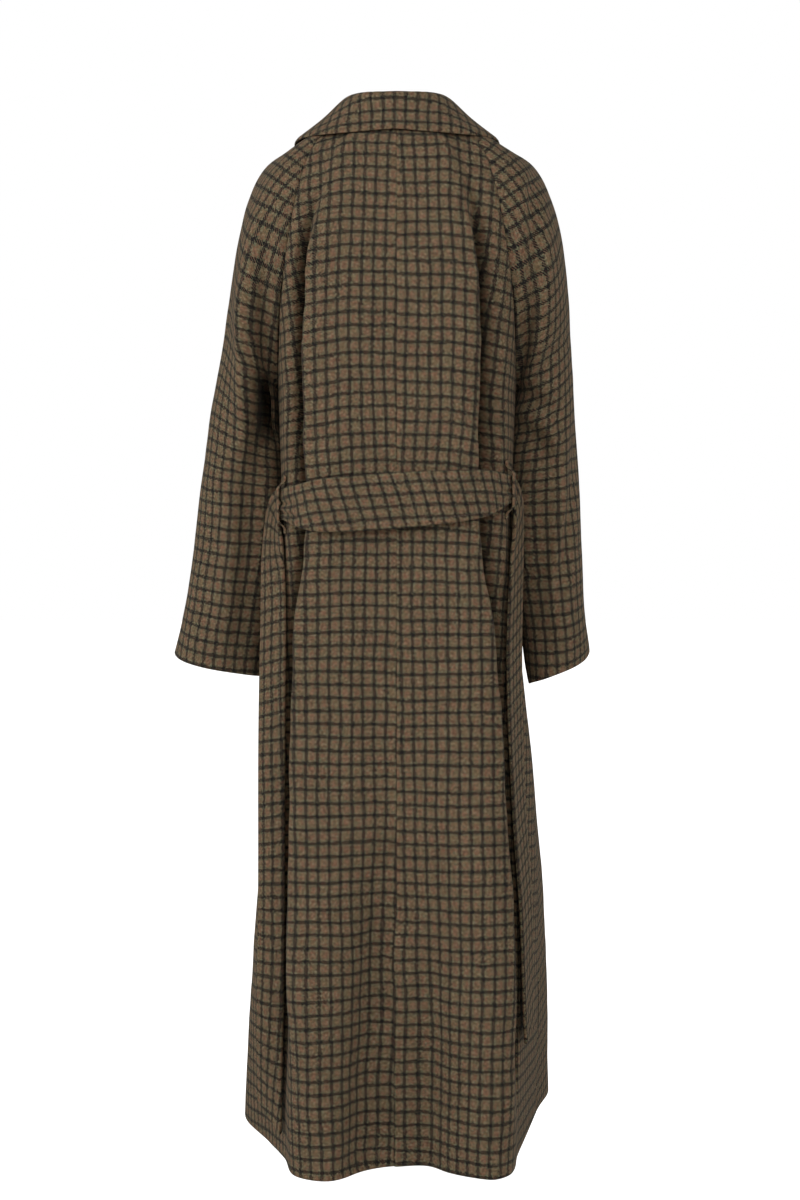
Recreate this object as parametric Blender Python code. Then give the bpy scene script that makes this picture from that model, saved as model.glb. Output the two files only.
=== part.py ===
"""A long raglan coat of checked wool, open at neck, cuffs and hem, as it hangs when worn.

Metres, +Z up. The origin is the middle of the neck base, where the wearer's shoulders carry the coat.
+Y is the back of the coat, -Y its front, and +X the wearer's left.
Every cloth piece is a wall lofted through the sections in the tables below, which are in millimetres.
"""

import bmesh
import bpy
import numpy as np

MM = 0.001

# Driving sizes
CLOTH = 2.4 * MM  # one layer of the wool cloth
COLLAR_CLOTH = 2.6 * MM  # upper and under collar together
BELT_CLOTH = 4.6 * MM  # the belt is cloth sewn double
SEAM_GAP = 0.3 * MM  # between two pieces at a seam
NECK_GAP = 0.7 * MM  # between the collar and the neckline it stands on
FRONT_NECK_GAP = 1.2 * MM  # how much more at the front, where the neckline is steep and the collar leans out
FRONT_LAP = 30 * MM  # how far each front runs past the centre line
LAP_LIFT = 3.8 * MM  # how far the right front lies outside the left front
COLLAR_LIFT = 4.2 * MM  # how much more at the neckline, where the collar's end stands between them
COLLAR_LIFT_LEVEL = 0.3  # the level at which that has gone
NECK_CURVE = 1.6  # how round the neckline runs from the centre front to the shoulder
LIP_X = 0.28  # where the lip of a fold stands, as a share of the way from fold to lobe
LIP_Y = 0.22  # how far the lip has dropped, as a share of the fold's depth
ROLL_DROP = 6 * MM  # how far below its top the collar's roll has become straight
ROLL_SPREAD = 2.5 * MM  # how far the roll stands out on each side there
COLLAR_BELLY = -0.5 * MM  # how far the middle of the fall stands off a straight line
VENT_TOP_LEVEL = 1.66
VENT_LAP = 34 * MM  # how far the vent's underlay runs behind the right back
VENT_TUCK = 9 * MM  # how far it runs behind the left back
LOOP_CLOTH = 2.0 * MM
LOOP_RISE = 9.5 * MM  # how far a belt loop stands off the back
LEFT_LOOP_LEVEL = 1.141
RIGHT_LOOP_LEVEL = 1.122
LOOP_REACH = 0.037  # half a loop's length, as levels
LOOP_PLACE = 4.03  # where a loop lies between the ridge, 4, and the side seam, 5
LOOP_SPREAD = 0.056  # half its width, in the same measure
LOOP_FOOT = 0.88  # where a loop's legs leave the back, as a share of its reach
LOOP_TOP = 0.52  # where they have risen
LEFT, RIGHT = 1, -1

# Rows and columns of the lofts
RAGLAN_ROWS = 9  # from the neck to the armpit
SKIRT_ROWS = 19  # from the armpit to the hem
ARM_ROWS = 14  # from the armpit to the cuff
BACK_SPANS = (4, 2, 3, 3, 4)  # columns between the control points of a back section
FRONT_SPANS = (2, 3, 2, 2, 2, 3)
SLEEVE_COLUMNS = 10
VENT_ROWS = 8
COLLAR_ROWS = 22  # from the centre back to each front end
COLLAR_SPANS = (1, 1, 2, 2, 2, 2)
BELT_STEPS = 3  # rows of the belt's loft between two rows of its table
BELT_COLUMNS = 3
LOOP_ROWS = 14

TWEED = (0.093, 0.070, 0.046, 1.0)
BELT_TWEED = (0.098, 0.075, 0.050, 1.0)


def table(text):
    """Columns by name, from rows of millimetres. The first column, level, has no unit."""
    lines = [line.split() for line in text.strip().splitlines()]
    values = np.array(lines[1:], float)
    columns = {name: values[:, i] * MM for i, name in enumerate(lines[0])}
    columns["level"] = values[:, 0]
    return columns


# Level 0 is the neckline, 1 the armpit and 2 the hem or the cuff.
# Raglan seams of the back and of the front, and the side seam below them.
BACK_RAGLAN = table("""
level    x    y     z
0.00    50   60    16
0.20   100   76   -14
0.40   122  103   -75
0.60   135  110  -145
0.80   145   88  -225
0.92   149   48  -292
1.00   151    5  -325
""")

FRONT_RAGLAN = table("""
level    x    y     z
0.00    68  -30     4
0.20    92  -62   -30
0.40   112  -90   -85
0.60   130  -98  -150
0.80   143  -76  -228
0.92   149  -38  -293
1.00   151    5  -325
""")

SIDE_SEAM_LEFT = table("""
level    x    y     z
1.00   151    5  -325
1.14   148    8  -460
1.31   154    8  -622
1.42   162    4  -728
1.55   172   -5  -853
1.79   191  -20 -1083
2.00   204  -35 -1285
""")

SIDE_SEAM_RIGHT = table("""
level    x    y     z
1.00   151    5  -325
1.14   148    8  -460
1.31   155    8  -622
1.42   167    2  -728
1.55   179  -10  -853
1.79   187  -30 -1083
2.00   187  -52 -1285
""")

# Each back falls from the shoulder blade in a lobe, turns in at a deep fold and out again at a ridge.
# lip is how far the lobe's edge lies back from the fold, in thousandths of their distance.
BACK_LEFT = table("""
level  centre_z  centre_y  lobe_x  lobe_y  fold_x  fold_y  ridge_x  ridge_y  lip
0.00       18        72      18      71      32      67       42       63  280
0.20      -22       106      45     102      70      93       87       83  280
0.40      -90       124      60     124      95     113      110      109  280
0.60     -155       140      75     141     114     120      125      119  200
0.80     -232       147      82     150     117     113      133      108  140
1.00     -325       149      86     154     118     106      139       92  150
1.14     -460       148      88     151     118     116      137       96  310
1.31     -622       152      85     158     133     106      145       76  170
1.55     -853       160      85     176     139     101      156       66  140
1.79    -1083       160      85     196     143     112      167       70  190
2.00    -1285       158      82     212     143     130      165       70  260
""")

BACK_RIGHT = table("""
level  centre_z  centre_y  lobe_x  lobe_y  fold_x  fold_y  ridge_x  ridge_y  lip
0.00       18        72      18      71      32      67       42       63  280
0.20      -22       106      42     102      66      93       86       83  280
0.40      -90       124      55     124      90     113      108      109  280
0.60     -155       140      66     142     101     120      120      121  200
0.80     -232       147      70     151     103     112      128      113  140
1.00     -325       149      72     155     104     106      134       98  150
1.14     -460       148      75     152     108     114      134       98  310
1.31     -622       152      90     159     125     108      146       70  180
1.55     -853       160     100     180     141     102      160       48  150
1.79    -1083       160     110     200     154     108      168       50  200
2.00    -1285       158     114     208     153     120      168       45  300
""")

FRONT = table("""
level  centre_z  centre_y  chest_x  chest_y  fold_x  fold_y  left_x  left_y  right_x  right_y
0.00      -86       -84      30      -74      46      -60      58     -46      58      -46
0.20     -110       -97      42      -90      62      -82      78     -74      78      -74
0.40     -150      -114      58     -111      84     -105     100    -100     100     -100
0.60     -200      -130      68     -129      98     -119     116    -112     116     -112
0.80     -258      -140      76     -138     106     -124     128    -106     128     -106
1.00     -325      -143      80     -141     110     -122     136     -92     136      -92
1.14     -460      -138      82     -133     112     -112     136     -84     136      -84
1.31     -622      -149      86     -147     118     -118     146     -88     148      -92
1.55     -853      -177      92     -176     130     -132     164    -100     176     -112
1.79    -1083      -206     100     -206     142     -152     182    -116     200     -138
2.00    -1285      -229     108     -228     150     -176     188    -126     207     -160
""")

# The line over the shoulder and down the outside of each sleeve, and how the cloth leaves the two seams.
# turn is the angle, in thousandths of a radian, at which it leaves the inner seam, from sideways to straight back.
SLEEVE_LEFT = table("""
level  out_x  out_y  out_z   turn  reach_in  reach_out  reach_front
0.00     70      4     16   -430     18        24         18
0.20    122      0    -12   -260     28        40         28
0.40    165     -3    -39    -90     45        56         45
0.60    188     -6    -82     90     52        72         52
0.80    203     -8   -142    610     60        86         60
0.92    212     -9   -195   1130     80        95         80
1.00    220    -10   -245   1540    100       100         92
1.25    241    -12   -365   1570    122       102         80
1.50    258    -15   -485   1570    122       102         76
1.75    273    -20   -595   1570    108        96         78
2.00    290    -28   -660   1570     86        84         82
""")

SLEEVE_RIGHT = table("""
level  out_x  out_y  out_z   turn  reach_in  reach_out  reach_front
0.00     70      4     16   -430     18        24         18
0.20    126      0    -12   -260     28        40         28
0.40    170     -3    -36    -90     45        56         45
0.60    195     -6    -80     90     52        72         52
0.80    211     -8   -140    610     60        86         60
0.92    217     -9   -193   1130     80        95         80
1.00    221    -10   -245   1540    100       100         92
1.25    229    -14   -365   1570    122       102         80
1.50    237    -20   -485   1570    122       102         76
1.75    243    -30   -598   1570    108        96         78
2.00    252    -55   -660   1570     86        84         82
""")

UNDERARM_LEFT = table("""
level    x    y     z
1.00   151    5  -325
1.25   149  -42  -425
1.50   152  -46  -525
1.75   166  -36  -622
2.00   173  -20  -690
""")

UNDERARM_RIGHT = table("""
level    x    y     z
1.00   151    5  -325
1.25   149  -42  -425
1.50   152  -46  -525
1.75   164  -38  -628
2.00   171  -18  -700
""")

# The collar's roll line and outer edge, from the centre back, 0, round the shoulder to the front end, 1.
COLLAR = table("""
level  roll_x  roll_y  roll_z  edge_x  edge_y  edge_z
0.00      0      78      46      0       98       0
0.22     37      69      46     65       94      -4
0.42     59      37      45    112       59      -5
0.58     64       4      43    128       14      -8
0.66     64     -16      38    130      -16     -11
0.74     62     -36      28    128      -50     -20
0.81     56     -57       6    120      -82     -54
0.88     45     -73     -23    107     -108    -100
1.00      9     -90     -64     76     -128    -158
""")

# The belt's two edges, from the end of the left tail, through the left loop and across the back to the right tail.
BELT = table("""
level  top_x  top_y  top_z  low_x  low_y  low_z
0.0     176     95  -1222    147    136  -1250
1.0     175     84  -1050    145    122  -1060
2.0     173     68   -850    143    109   -852
3.0     171     56   -650    141    104   -650
4.0     169     47   -540    142     95   -542
5.0     165     43   -482    144     90   -506
6.0     158     53   -456    147     84   -491
7.0     150     71   -446    147     83   -479
8.0     142     95   -443    140    100   -478
9.0     119    137   -435    119    139   -485
10.0     92    157   -428     92    159   -488
11.0     50    158   -424     50    162   -487
12.0      0    155   -420      0    160   -484
13.0    -45    159   -418    -45    163   -479
14.0    -80    157   -417    -80    161   -475
15.0   -110    137   -418   -110    141   -470
16.0   -133    110   -424   -132    114   -461
17.0   -142     92   -428   -140     99   -457
18.0   -150     71   -437   -146     86   -464
19.0   -157     55   -458   -147     86   -484
20.0   -158     52   -520   -143     94   -528
21.0   -156     60   -650   -138    108   -650
22.0   -163     58   -850   -147    106   -850
23.0   -172     60  -1000   -157    110  -1000
24.0   -175     62  -1135   -163    114  -1140
""")


def smooth(levels, values, at):
    """A curve through a table's column that never overshoots its values."""
    step = np.diff(levels)
    slope = np.diff(values) / step
    tangent = np.empty(len(values))
    tangent[0], tangent[-1] = slope[0], slope[-1]
    for i in range(1, len(values) - 1):
        before, after = slope[i - 1], slope[i]
        if before * after <= 0:
            tangent[i] = 0
        else:
            w1 = 2 * step[i] + step[i - 1]
            w2 = step[i] + 2 * step[i - 1]
            tangent[i] = (w1 + w2) / (w1 / before + w2 / after)
    i = np.clip(np.searchsorted(levels, at, side="right") - 1, 0, len(step) - 1)
    t = (at - levels[i]) / step[i]
    return (
        values[i] * (1 + 2 * t) * (1 - t) ** 2
        + values[i + 1] * t * t * (3 - 2 * t)
        + step[i] * (tangent[i] * t * (1 - t) ** 2 - tangent[i + 1] * t * t * (1 - t))
    )


def rail(columns, names, levels):
    """Points of a line in space, from three columns of a table."""
    return np.stack([smooth(columns["level"], columns[n], levels) for n in names], axis=1)


def unit(vectors):
    return vectors / np.maximum(np.linalg.norm(vectors, axis=-1, keepdims=True), 1e-12)


def body_levels():
    upper = np.linspace(0, 1, RAGLAN_ROWS + 1)
    lower = np.linspace(1, 2, SKIRT_ROWS + 1)
    return np.concatenate([upper, lower[1:]])


def sleeve_levels():
    upper = np.linspace(0, 1, RAGLAN_ROWS + 1)
    lower = np.linspace(1, 2, ARM_ROWS + 1)
    return np.concatenate([upper, lower[1:]])


def body_seam(side, raglan, levels):
    """The seam that bounds a back or a front: its raglan down to the armpit, then the side seam."""
    lower = SIDE_SEAM_LEFT if side == LEFT else SIDE_SEAM_RIGHT
    upper = rail(raglan, ("x", "y", "z"), np.minimum(levels, 1))
    lower = rail(lower, ("x", "y", "z"), np.maximum(levels, 1))
    return np.where((levels <= 1)[:, None], upper, lower)


def span_places(spans):
    """Column places along a section: whole numbers are its control points."""
    return np.concatenate([[0.0]] + [i + np.arange(1, n + 1) / n for i, n in enumerate(spans)])


def through(controls, first_ghost, last_ghost, places):
    """Points and slopes of smooth curves through rows of control points. The ghosts set the end directions."""
    line = np.concatenate([first_ghost[:, None], controls, last_ghost[:, None]], axis=1)
    gaps = np.linalg.norm(np.diff(line, axis=1), axis=2, keepdims=True)
    tangents = (line[:, 2:] - line[:, :-2]) / (gaps[:, 1:] + gaps[:, :-1])
    i = np.minimum(places.astype(int), controls.shape[1] - 2)
    t = (places - i)[None, :, None]
    length = gaps[:, 1:-1][:, i]
    start, end = controls[:, i], controls[:, i + 1]
    leave, arrive = tangents[:, i] * length, tangents[:, i + 1] * length
    points = (
        start * (1 + 2 * t) * (1 - t) ** 2
        + end * t * t * (3 - 2 * t)
        + leave * t * (1 - t) ** 2
        - arrive * t * t * (1 - t)
    )
    slopes = (
        (end - start) * 6 * t * (1 - t)
        + leave * (1 - t) * (1 - 3 * t)
        + arrive * t * (3 * t - 2)
    )
    return points, slopes


def outward(points, slopes, side):
    """Unit normals of a grid of points that face out of the coat."""
    along = np.gradient(points, axis=0)
    return unit(np.cross(slopes, along)) * side


def with_heights(controls, centre_z, seam_z, curve):
    """Gives each control point of a section its height, between the centre line's and the seam's."""
    steps = np.linalg.norm(np.diff(controls[:, :, :2], axis=1), axis=2)
    run = np.concatenate([np.zeros((len(steps), 1)), np.cumsum(steps, axis=1)], axis=1)
    share = run / run[:, -1:]
    controls[:, :, 2] = centre_z[:, None] + (seam_z - centre_z)[:, None] * share**curve
    return controls


def past_seam(last, before, neighbour, levels):
    """Where a section heads past its seam: straight on above the armpit, to the next panel below it."""
    straight = 2 * last - before
    around = np.concatenate([neighbour, last[:, 2:]], axis=1)
    wrap = np.clip((levels - 0.7) / 0.3, 0, 1)[:, None]
    return straight * (1 - wrap) + around * wrap


def back_section(side, levels, places):
    """Points and normals of the left or right back."""
    columns = BACK_LEFT if side == LEFT else BACK_RIGHT

    def pair(name):
        return rail(columns, (name + "_x", name + "_y"), levels)

    lobe, fold, ridge = pair("lobe"), pair("fold"), pair("ridge")
    seam = body_seam(side, BACK_RAGLAN, levels)
    centre_y = smooth(columns["level"], columns["centre_y"], levels)
    centre_z = smooth(columns["level"], columns["centre_z"], levels)
    lip_back = smooth(columns["level"], columns["lip"], levels)
    lip = fold + (lobe - fold) * np.stack([lip_back, np.full(len(levels), 1 - LIP_Y)], axis=1)
    controls = np.zeros((len(levels), 6, 3))
    controls[:, 0, 1] = centre_y
    for i, point in enumerate((lobe, lip, fold, ridge, seam[:, :2]), start=1):
        controls[:, i, :2] = point
    controls = with_heights(controls, centre_z, seam[:, 2], 1.0)
    mirrored = controls[:, 1] * np.array([-1, 1, 1])
    flank_name = "left" if side == LEFT else "right"
    flank = rail(FRONT, (flank_name + "_x", flank_name + "_y"), levels)
    beyond = past_seam(controls[:, -1], controls[:, -2], flank, levels)
    points, slopes = through(controls, mirrored, beyond, places)
    points, slopes = points * np.array([side, 1, 1]), slopes * np.array([side, 1, 1])
    return points, outward(points, slopes, side)


def front_section(side, levels, places):
    """Points and normals of the left or right front, from its edge past the centre line to its seam."""

    def pair(name):
        return rail(FRONT, (name + "_x", name + "_y"), levels)

    chest, fold, flank = pair("chest"), pair("fold"), pair("left" if side == LEFT else "right")
    seam = body_seam(side, FRONT_RAGLAN, levels)
    centre_y = smooth(FRONT["level"], FRONT["centre_y"], levels)
    centre_z = smooth(FRONT["level"], FRONT["centre_z"], levels)
    lip = fold + (chest - fold) * np.array([LIP_X, 1 - LIP_Y])
    controls = np.zeros((len(levels), 6, 3))
    controls[:, 0, 1] = centre_y
    for i, point in enumerate((chest, lip, fold, flank, seam[:, :2]), start=1):
        controls[:, i, :2] = point
    controls = with_heights(controls, centre_z, seam[:, 2], NECK_CURVE)
    centre, chest = controls[:, 0], controls[:, 1]
    share = FRONT_LAP / chest[:, 0]
    edge = centre.copy()
    edge[:, 0] = -FRONT_LAP
    edge[:, 1] += (chest - centre)[:, 1] * share**2
    edge[:, 2] += (chest - centre)[:, 2] * share**NECK_CURVE
    controls = np.concatenate([edge[:, None], controls], axis=1)
    ahead = 2 * edge - centre
    ridge = rail(BACK_LEFT if side == LEFT else BACK_RIGHT, ("ridge_x", "ridge_y"), levels)
    beyond = past_seam(controls[:, -1], controls[:, -2], ridge, levels)
    points, slopes = through(controls, ahead, beyond, places)
    points, slopes = points * np.array([side, 1, 1]), slopes * np.array([side, 1, 1])
    normals = -outward(points, slopes, side)
    if side == LEFT:
        across = np.clip((2.2 * FRONT_LAP - points[:, :, 0]) / (1.1 * FRONT_LAP), 0, 1)
        sunk = across * across * (3 - 2 * across)
        lift = LAP_LIFT + COLLAR_LIFT * np.clip(1 - levels / COLLAR_LIFT_LEVEL, 0, 1)
        points = points - normals * (lift[:, None] * sunk)[:, :, None]
    return points, normals


def sleeve_section(side, face, levels, shares):
    """Points and normals of half a sleeve: face is 1 for its back half and -1 for its front half."""
    columns, underarm = (
        (SLEEVE_LEFT, UNDERARM_LEFT) if side == LEFT else (SLEEVE_RIGHT, UNDERARM_RIGHT)
    )
    seam = BACK_RAGLAN if face == 1 else FRONT_RAGLAN
    raglan = rail(seam, ("x", "y", "z"), np.minimum(levels, 1))
    inner = np.where(
        (levels <= 1)[:, None], raglan, rail(underarm, ("x", "y", "z"), np.maximum(levels, 1))
    )
    outer = rail(columns, ("out_x", "out_y", "out_z"), levels)
    turn = smooth(columns["level"], columns["turn"], levels)
    reach_in = smooth(columns["level"], columns["reach_in" if face == 1 else "reach_front"], levels)
    reach_out = smooth(columns["level"], columns["reach_out"], levels)
    rise = (outer - inner)[:, 2] / 3
    leave = np.stack([np.cos(turn) * reach_in, face * np.sin(turn) * reach_in, rise], axis=1)
    arrive = np.stack([np.zeros(len(levels)), face * reach_out, -rise], axis=1)
    corners = [p[:, None] for p in (inner, inner + leave, outer + arrive, outer)]
    s = shares[None, :, None]
    points = (
        corners[0] * (1 - s) ** 3
        + corners[1] * 3 * s * (1 - s) ** 2
        + corners[2] * 3 * s * s * (1 - s)
        + corners[3] * s**3
    )
    slopes = 3 * (
        (corners[1] - corners[0]) * (1 - s) ** 2
        + (corners[2] - corners[1]) * 2 * s * (1 - s)
        + (corners[3] - corners[2]) * s * s
    )
    points, slopes = points * np.array([side, 1, 1]), slopes * np.array([side, 1, 1])
    return points, outward(points, slopes, side) * face


def share_seam(first, first_column, second, second_column, rows):
    """Two pieces that meet smoothly at a seam get the same normals there, so their edges stay parallel."""
    a, b = first[1][rows, first_column], second[1][rows, second_column]
    alike = (a * b).sum(axis=1, keepdims=True) > 0.5
    mean = unit(a + b)
    first[1][rows, first_column] = np.where(alike, mean, a)
    second[1][rows, second_column] = np.where(alike, mean, b)


def drawn_in(points):
    """The same grid with its first and last columns drawn in from the seams by half the gap."""
    points = points.copy()
    for edge, inside in ((0, 1), (-1, -2)):
        points[:, edge] += unit(points[:, inside] - points[:, edge]) * SEAM_GAP / 2
    return points


def new_object(name, mesh, colour):
    material = bpy.data.materials.new(name + "_cloth")
    material.use_nodes = True
    shader = material.node_tree.nodes["Principled BSDF"]
    shader.inputs["Base Color"].default_value = colour
    shader.inputs["Roughness"].default_value = 0.9
    shader.inputs["Metallic"].default_value = 0.0
    mesh.materials.append(material)
    mesh.shade_smooth()
    made = bpy.data.objects.new(name, mesh)
    made.parent = bpy.data.objects["maxi_coat"]
    bpy.data.collections["maxi_coat"].objects.link(made)
    return made


def wall(name, points, normals, thickness, colour):
    """A closed wall of cloth: a grid of points on its outer side, and the same grid moved in by its thickness."""
    rows, columns = points.shape[:2]
    work = bmesh.new()
    skins = [
        [[work.verts.new(p) for p in row] for row in grid]
        for grid in (points, points - normals * thickness)
    ]
    for skin in skins:
        for i in range(rows - 1):
            for j in range(columns - 1):
                work.faces.new((skin[i][j], skin[i][j + 1], skin[i + 1][j + 1], skin[i + 1][j]))
    outer, inner = skins
    rim = [(0, j) for j in range(columns)] + [(i, columns - 1) for i in range(1, rows)]
    rim += [(rows - 1, j) for j in range(columns - 2, -1, -1)] + [(i, 0) for i in range(rows - 2, 0, -1)]
    for (i, j), (k, m) in zip(rim, rim[1:] + rim[:1]):
        work.faces.new((outer[i][j], outer[k][m], inner[k][m], inner[i][j]))
    bmesh.ops.recalc_face_normals(work, faces=work.faces)
    mesh = bpy.data.meshes.new(name)
    work.to_mesh(mesh)
    work.free()
    return new_object(name, mesh, colour)


def cut_body_and_sleeves():
    """The eight large panels, as pairs of points and normals."""
    body, arm = body_levels(), sleeve_levels()
    shares = np.linspace(0, 1, SLEEVE_COLUMNS + 1)
    cut = {}
    for side, word in ((LEFT, "left"), (RIGHT, "right")):
        cut["back_" + word] = list(back_section(side, body, span_places(BACK_SPANS)))
        cut["front_" + word] = list(front_section(side, body, span_places(FRONT_SPANS)))
        cut[f"sleeve_{word}_back"] = list(sleeve_section(side, 1, arm, shares))
        cut[f"sleeve_{word}_front"] = list(sleeve_section(side, -1, arm, shares))
    everywhere, above, below = slice(None), slice(0, RAGLAN_ROWS), slice(RAGLAN_ROWS, None)
    for word in ("left", "right"):
        back, front = cut["back_" + word], cut["front_" + word]
        sleeve_back, sleeve_front = cut[f"sleeve_{word}_back"], cut[f"sleeve_{word}_front"]
        share_seam(back, -1, sleeve_back, 0, above)
        share_seam(front, -1, sleeve_front, 0, above)
        share_seam(back, -1, front, -1, below)
        share_seam(sleeve_back, 0, sleeve_front, 0, below)
        share_seam(sleeve_back, -1, sleeve_front, -1, everywhere)
    share_seam(cut["back_left"], 0, cut["back_right"], 0, everywhere)
    return cut


def make_vent_underlay():
    """The strip that closes the vent from behind: under the right back, and a little under the left back."""
    levels = np.linspace(VENT_TOP_LEVEL, 2, VENT_ROWS + 1)
    inside = CLOTH + SEAM_GAP
    reach = np.linspace(0, 1, 4)
    halves = []
    for side, width in ((RIGHT, VENT_LAP), (LEFT, VENT_TUCK)):
        lobe_x = (BACK_LEFT if side == LEFT else BACK_RIGHT)["lobe_x"][-1]
        halves.append(back_section(side, levels, reach * width / lobe_x))
    points = np.concatenate([halves[0][0][:, ::-1], halves[1][0][:, 1:]], axis=1)
    normals = np.concatenate([halves[0][1][:, ::-1], halves[1][1][:, 1:]], axis=1)
    wall("vent_underlay", points - normals * inside, normals, CLOTH, TWEED)


def neckline(cut, word):
    """The outer edge of half the neckline, from the centre back round the shoulder to the centre front."""
    parts = [
        cut["back_" + word][0][0],
        cut[f"sleeve_{word}_back"][0][0][1:],
        cut[f"sleeve_{word}_front"][0][0][::-1][1:],
        cut["front_" + word][0][0][::-1][1 : -FRONT_SPANS[0]],
    ]
    return np.concatenate(parts)


def collar_half(neck_edge, side):
    """Points and slopes of half the collar, row by row from the centre back to its front end."""
    flip = np.array([side, 1, 1])
    run = np.concatenate([[0], np.cumsum(np.linalg.norm(np.diff(neck_edge, axis=0), axis=1))])
    shares = np.linspace(0, 1, COLLAR_ROWS + 1)
    neck = np.stack([np.interp(shares * run[-1], run, neck_edge[:, i]) for i in range(3)], axis=1)
    neck[:, 2] += NECK_GAP + FRONT_NECK_GAP * np.clip((shares - 0.5) / 0.2, 0, 1)
    roll = rail(COLLAR, ("roll_x", "roll_y", "roll_z"), shares) * flip
    edge = rail(COLLAR, ("edge_x", "edge_y", "edge_z"), shares) * flip
    up = np.array([0, 0, 1])
    out = unit((edge - roll) * np.array([1, 1, 0]))
    fall, stand = unit(edge - roll), unit(neck - roll)
    inside = roll + stand * ROLL_DROP - out * ROLL_SPREAD
    outside = roll + fall * ROLL_DROP + out * ROLL_SPREAD
    belly = (roll + edge) / 2 + (out + up) * COLLAR_BELLY
    controls = np.stack([neck, (neck + inside) / 2, inside, roll, outside, belly, edge], axis=1)
    below = 2 * controls[:, 0] - controls[:, 1]
    beyond = 2 * controls[:, -1] - controls[:, -2]
    return through(controls, below, beyond, span_places(COLLAR_SPANS))


def make_collar(cut):
    """One sheet that stands up from the neckline, rolls over and falls on the shoulders."""
    left = collar_half(neckline(cut, "left"), LEFT)
    right = collar_half(neckline(cut, "right"), RIGHT)
    points, slopes = (np.concatenate([r[:0:-1], l]) for l, r in zip(left, right))
    normals = -outward(points, slopes, 1)
    wall("collar", points, normals, COLLAR_CLOTH, TWEED)


def belt_lines():
    """Points and normals of the belt's two edges and the lines between them."""
    rows = len(BELT["level"])
    levels = np.linspace(0, rows - 1, (rows - 1) * BELT_STEPS + 1)
    lines = []
    for names in (("top_x", "top_y", "top_z"), ("low_x", "low_y", "low_z")):
        knots = np.stack([BELT[n] for n in names], axis=1)[None]
        first, last = 2 * knots[:, 0] - knots[:, 1], 2 * knots[:, -1] - knots[:, -2]
        points, slopes = through(knots, first, last, levels)
        lines.append((points[0], slopes[0]))
    shares = np.linspace(0, 1, BELT_COLUMNS + 1)[None, :, None]
    points = lines[0][0][:, None] * (1 - shares) + lines[1][0][:, None] * shares
    along = lines[0][1][:, None] * (1 - shares) + lines[1][1][:, None] * shares
    across = (lines[1][0] - lines[0][0])[:, None]
    normals = unit(np.cross(across, along))
    return points, normals


def make_belt():
    """The loose belt: across the back, through both loops, with a tail hanging at each side."""
    points, normals = belt_lines()
    wall("belt", points + normals * BELT_CLOTH / 2, normals, BELT_CLOTH, BELT_TWEED)


def make_loop(side, name):
    """A narrow strip on the back beside its side seam, standing off far enough for the belt to run under it."""
    level = LEFT_LOOP_LEVEL if side == LEFT else RIGHT_LOOP_LEVEL
    levels = np.linspace(level - LOOP_REACH, level + LOOP_REACH, LOOP_ROWS + 1)
    places = LOOP_PLACE + LOOP_SPREAD * np.array([-1, 0, 1])
    points, normals = back_section(side, levels, places)
    far = np.abs(levels - level) / LOOP_REACH
    leg = np.clip((LOOP_FOOT - far) / (LOOP_FOOT - LOOP_TOP), 0, 1)
    lift = LOOP_CLOTH + SEAM_GAP + LOOP_RISE * leg * leg * (3 - 2 * leg)
    wall(name, points + normals * lift[:, None, None], normals, LOOP_CLOTH, TWEED)


def main():
    for old in list(bpy.data.objects):
        bpy.data.objects.remove(old)
    collection = bpy.data.collections.new("maxi_coat")
    bpy.context.scene.collection.children.link(collection)
    collection.objects.link(bpy.data.objects.new("maxi_coat", None))
    cut = cut_body_and_sleeves()
    for name, (points, normals) in cut.items():
        wall(name, drawn_in(points), normals, CLOTH, TWEED)
    make_vent_underlay()
    make_collar(cut)
    make_belt()
    make_loop(LEFT, "belt_loop_left")
    make_loop(RIGHT, "belt_loop_right")


main()
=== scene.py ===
import math

import bpy
import numpy as np
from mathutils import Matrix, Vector, noise


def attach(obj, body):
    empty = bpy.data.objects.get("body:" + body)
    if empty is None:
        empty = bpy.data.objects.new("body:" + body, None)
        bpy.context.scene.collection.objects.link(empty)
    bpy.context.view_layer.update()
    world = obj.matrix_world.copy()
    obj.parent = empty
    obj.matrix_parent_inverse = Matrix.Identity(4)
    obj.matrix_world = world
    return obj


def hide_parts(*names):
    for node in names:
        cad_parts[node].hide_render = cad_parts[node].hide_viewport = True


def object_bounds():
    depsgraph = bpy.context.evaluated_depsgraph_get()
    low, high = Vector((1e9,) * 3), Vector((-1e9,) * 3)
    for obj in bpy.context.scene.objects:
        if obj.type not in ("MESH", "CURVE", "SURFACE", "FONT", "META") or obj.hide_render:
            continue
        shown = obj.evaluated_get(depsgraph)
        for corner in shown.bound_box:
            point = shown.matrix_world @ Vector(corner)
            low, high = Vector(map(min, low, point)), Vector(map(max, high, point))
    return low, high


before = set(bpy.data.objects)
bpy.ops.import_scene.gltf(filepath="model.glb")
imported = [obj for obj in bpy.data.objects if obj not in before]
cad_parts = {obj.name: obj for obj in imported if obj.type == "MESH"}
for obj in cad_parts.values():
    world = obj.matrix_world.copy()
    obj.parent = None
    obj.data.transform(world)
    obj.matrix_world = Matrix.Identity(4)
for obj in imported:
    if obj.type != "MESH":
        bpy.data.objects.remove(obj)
cadLow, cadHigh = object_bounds()
print("frame loaded")

mm = 0.001
leftSide, rightSide = 1, -1

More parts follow.
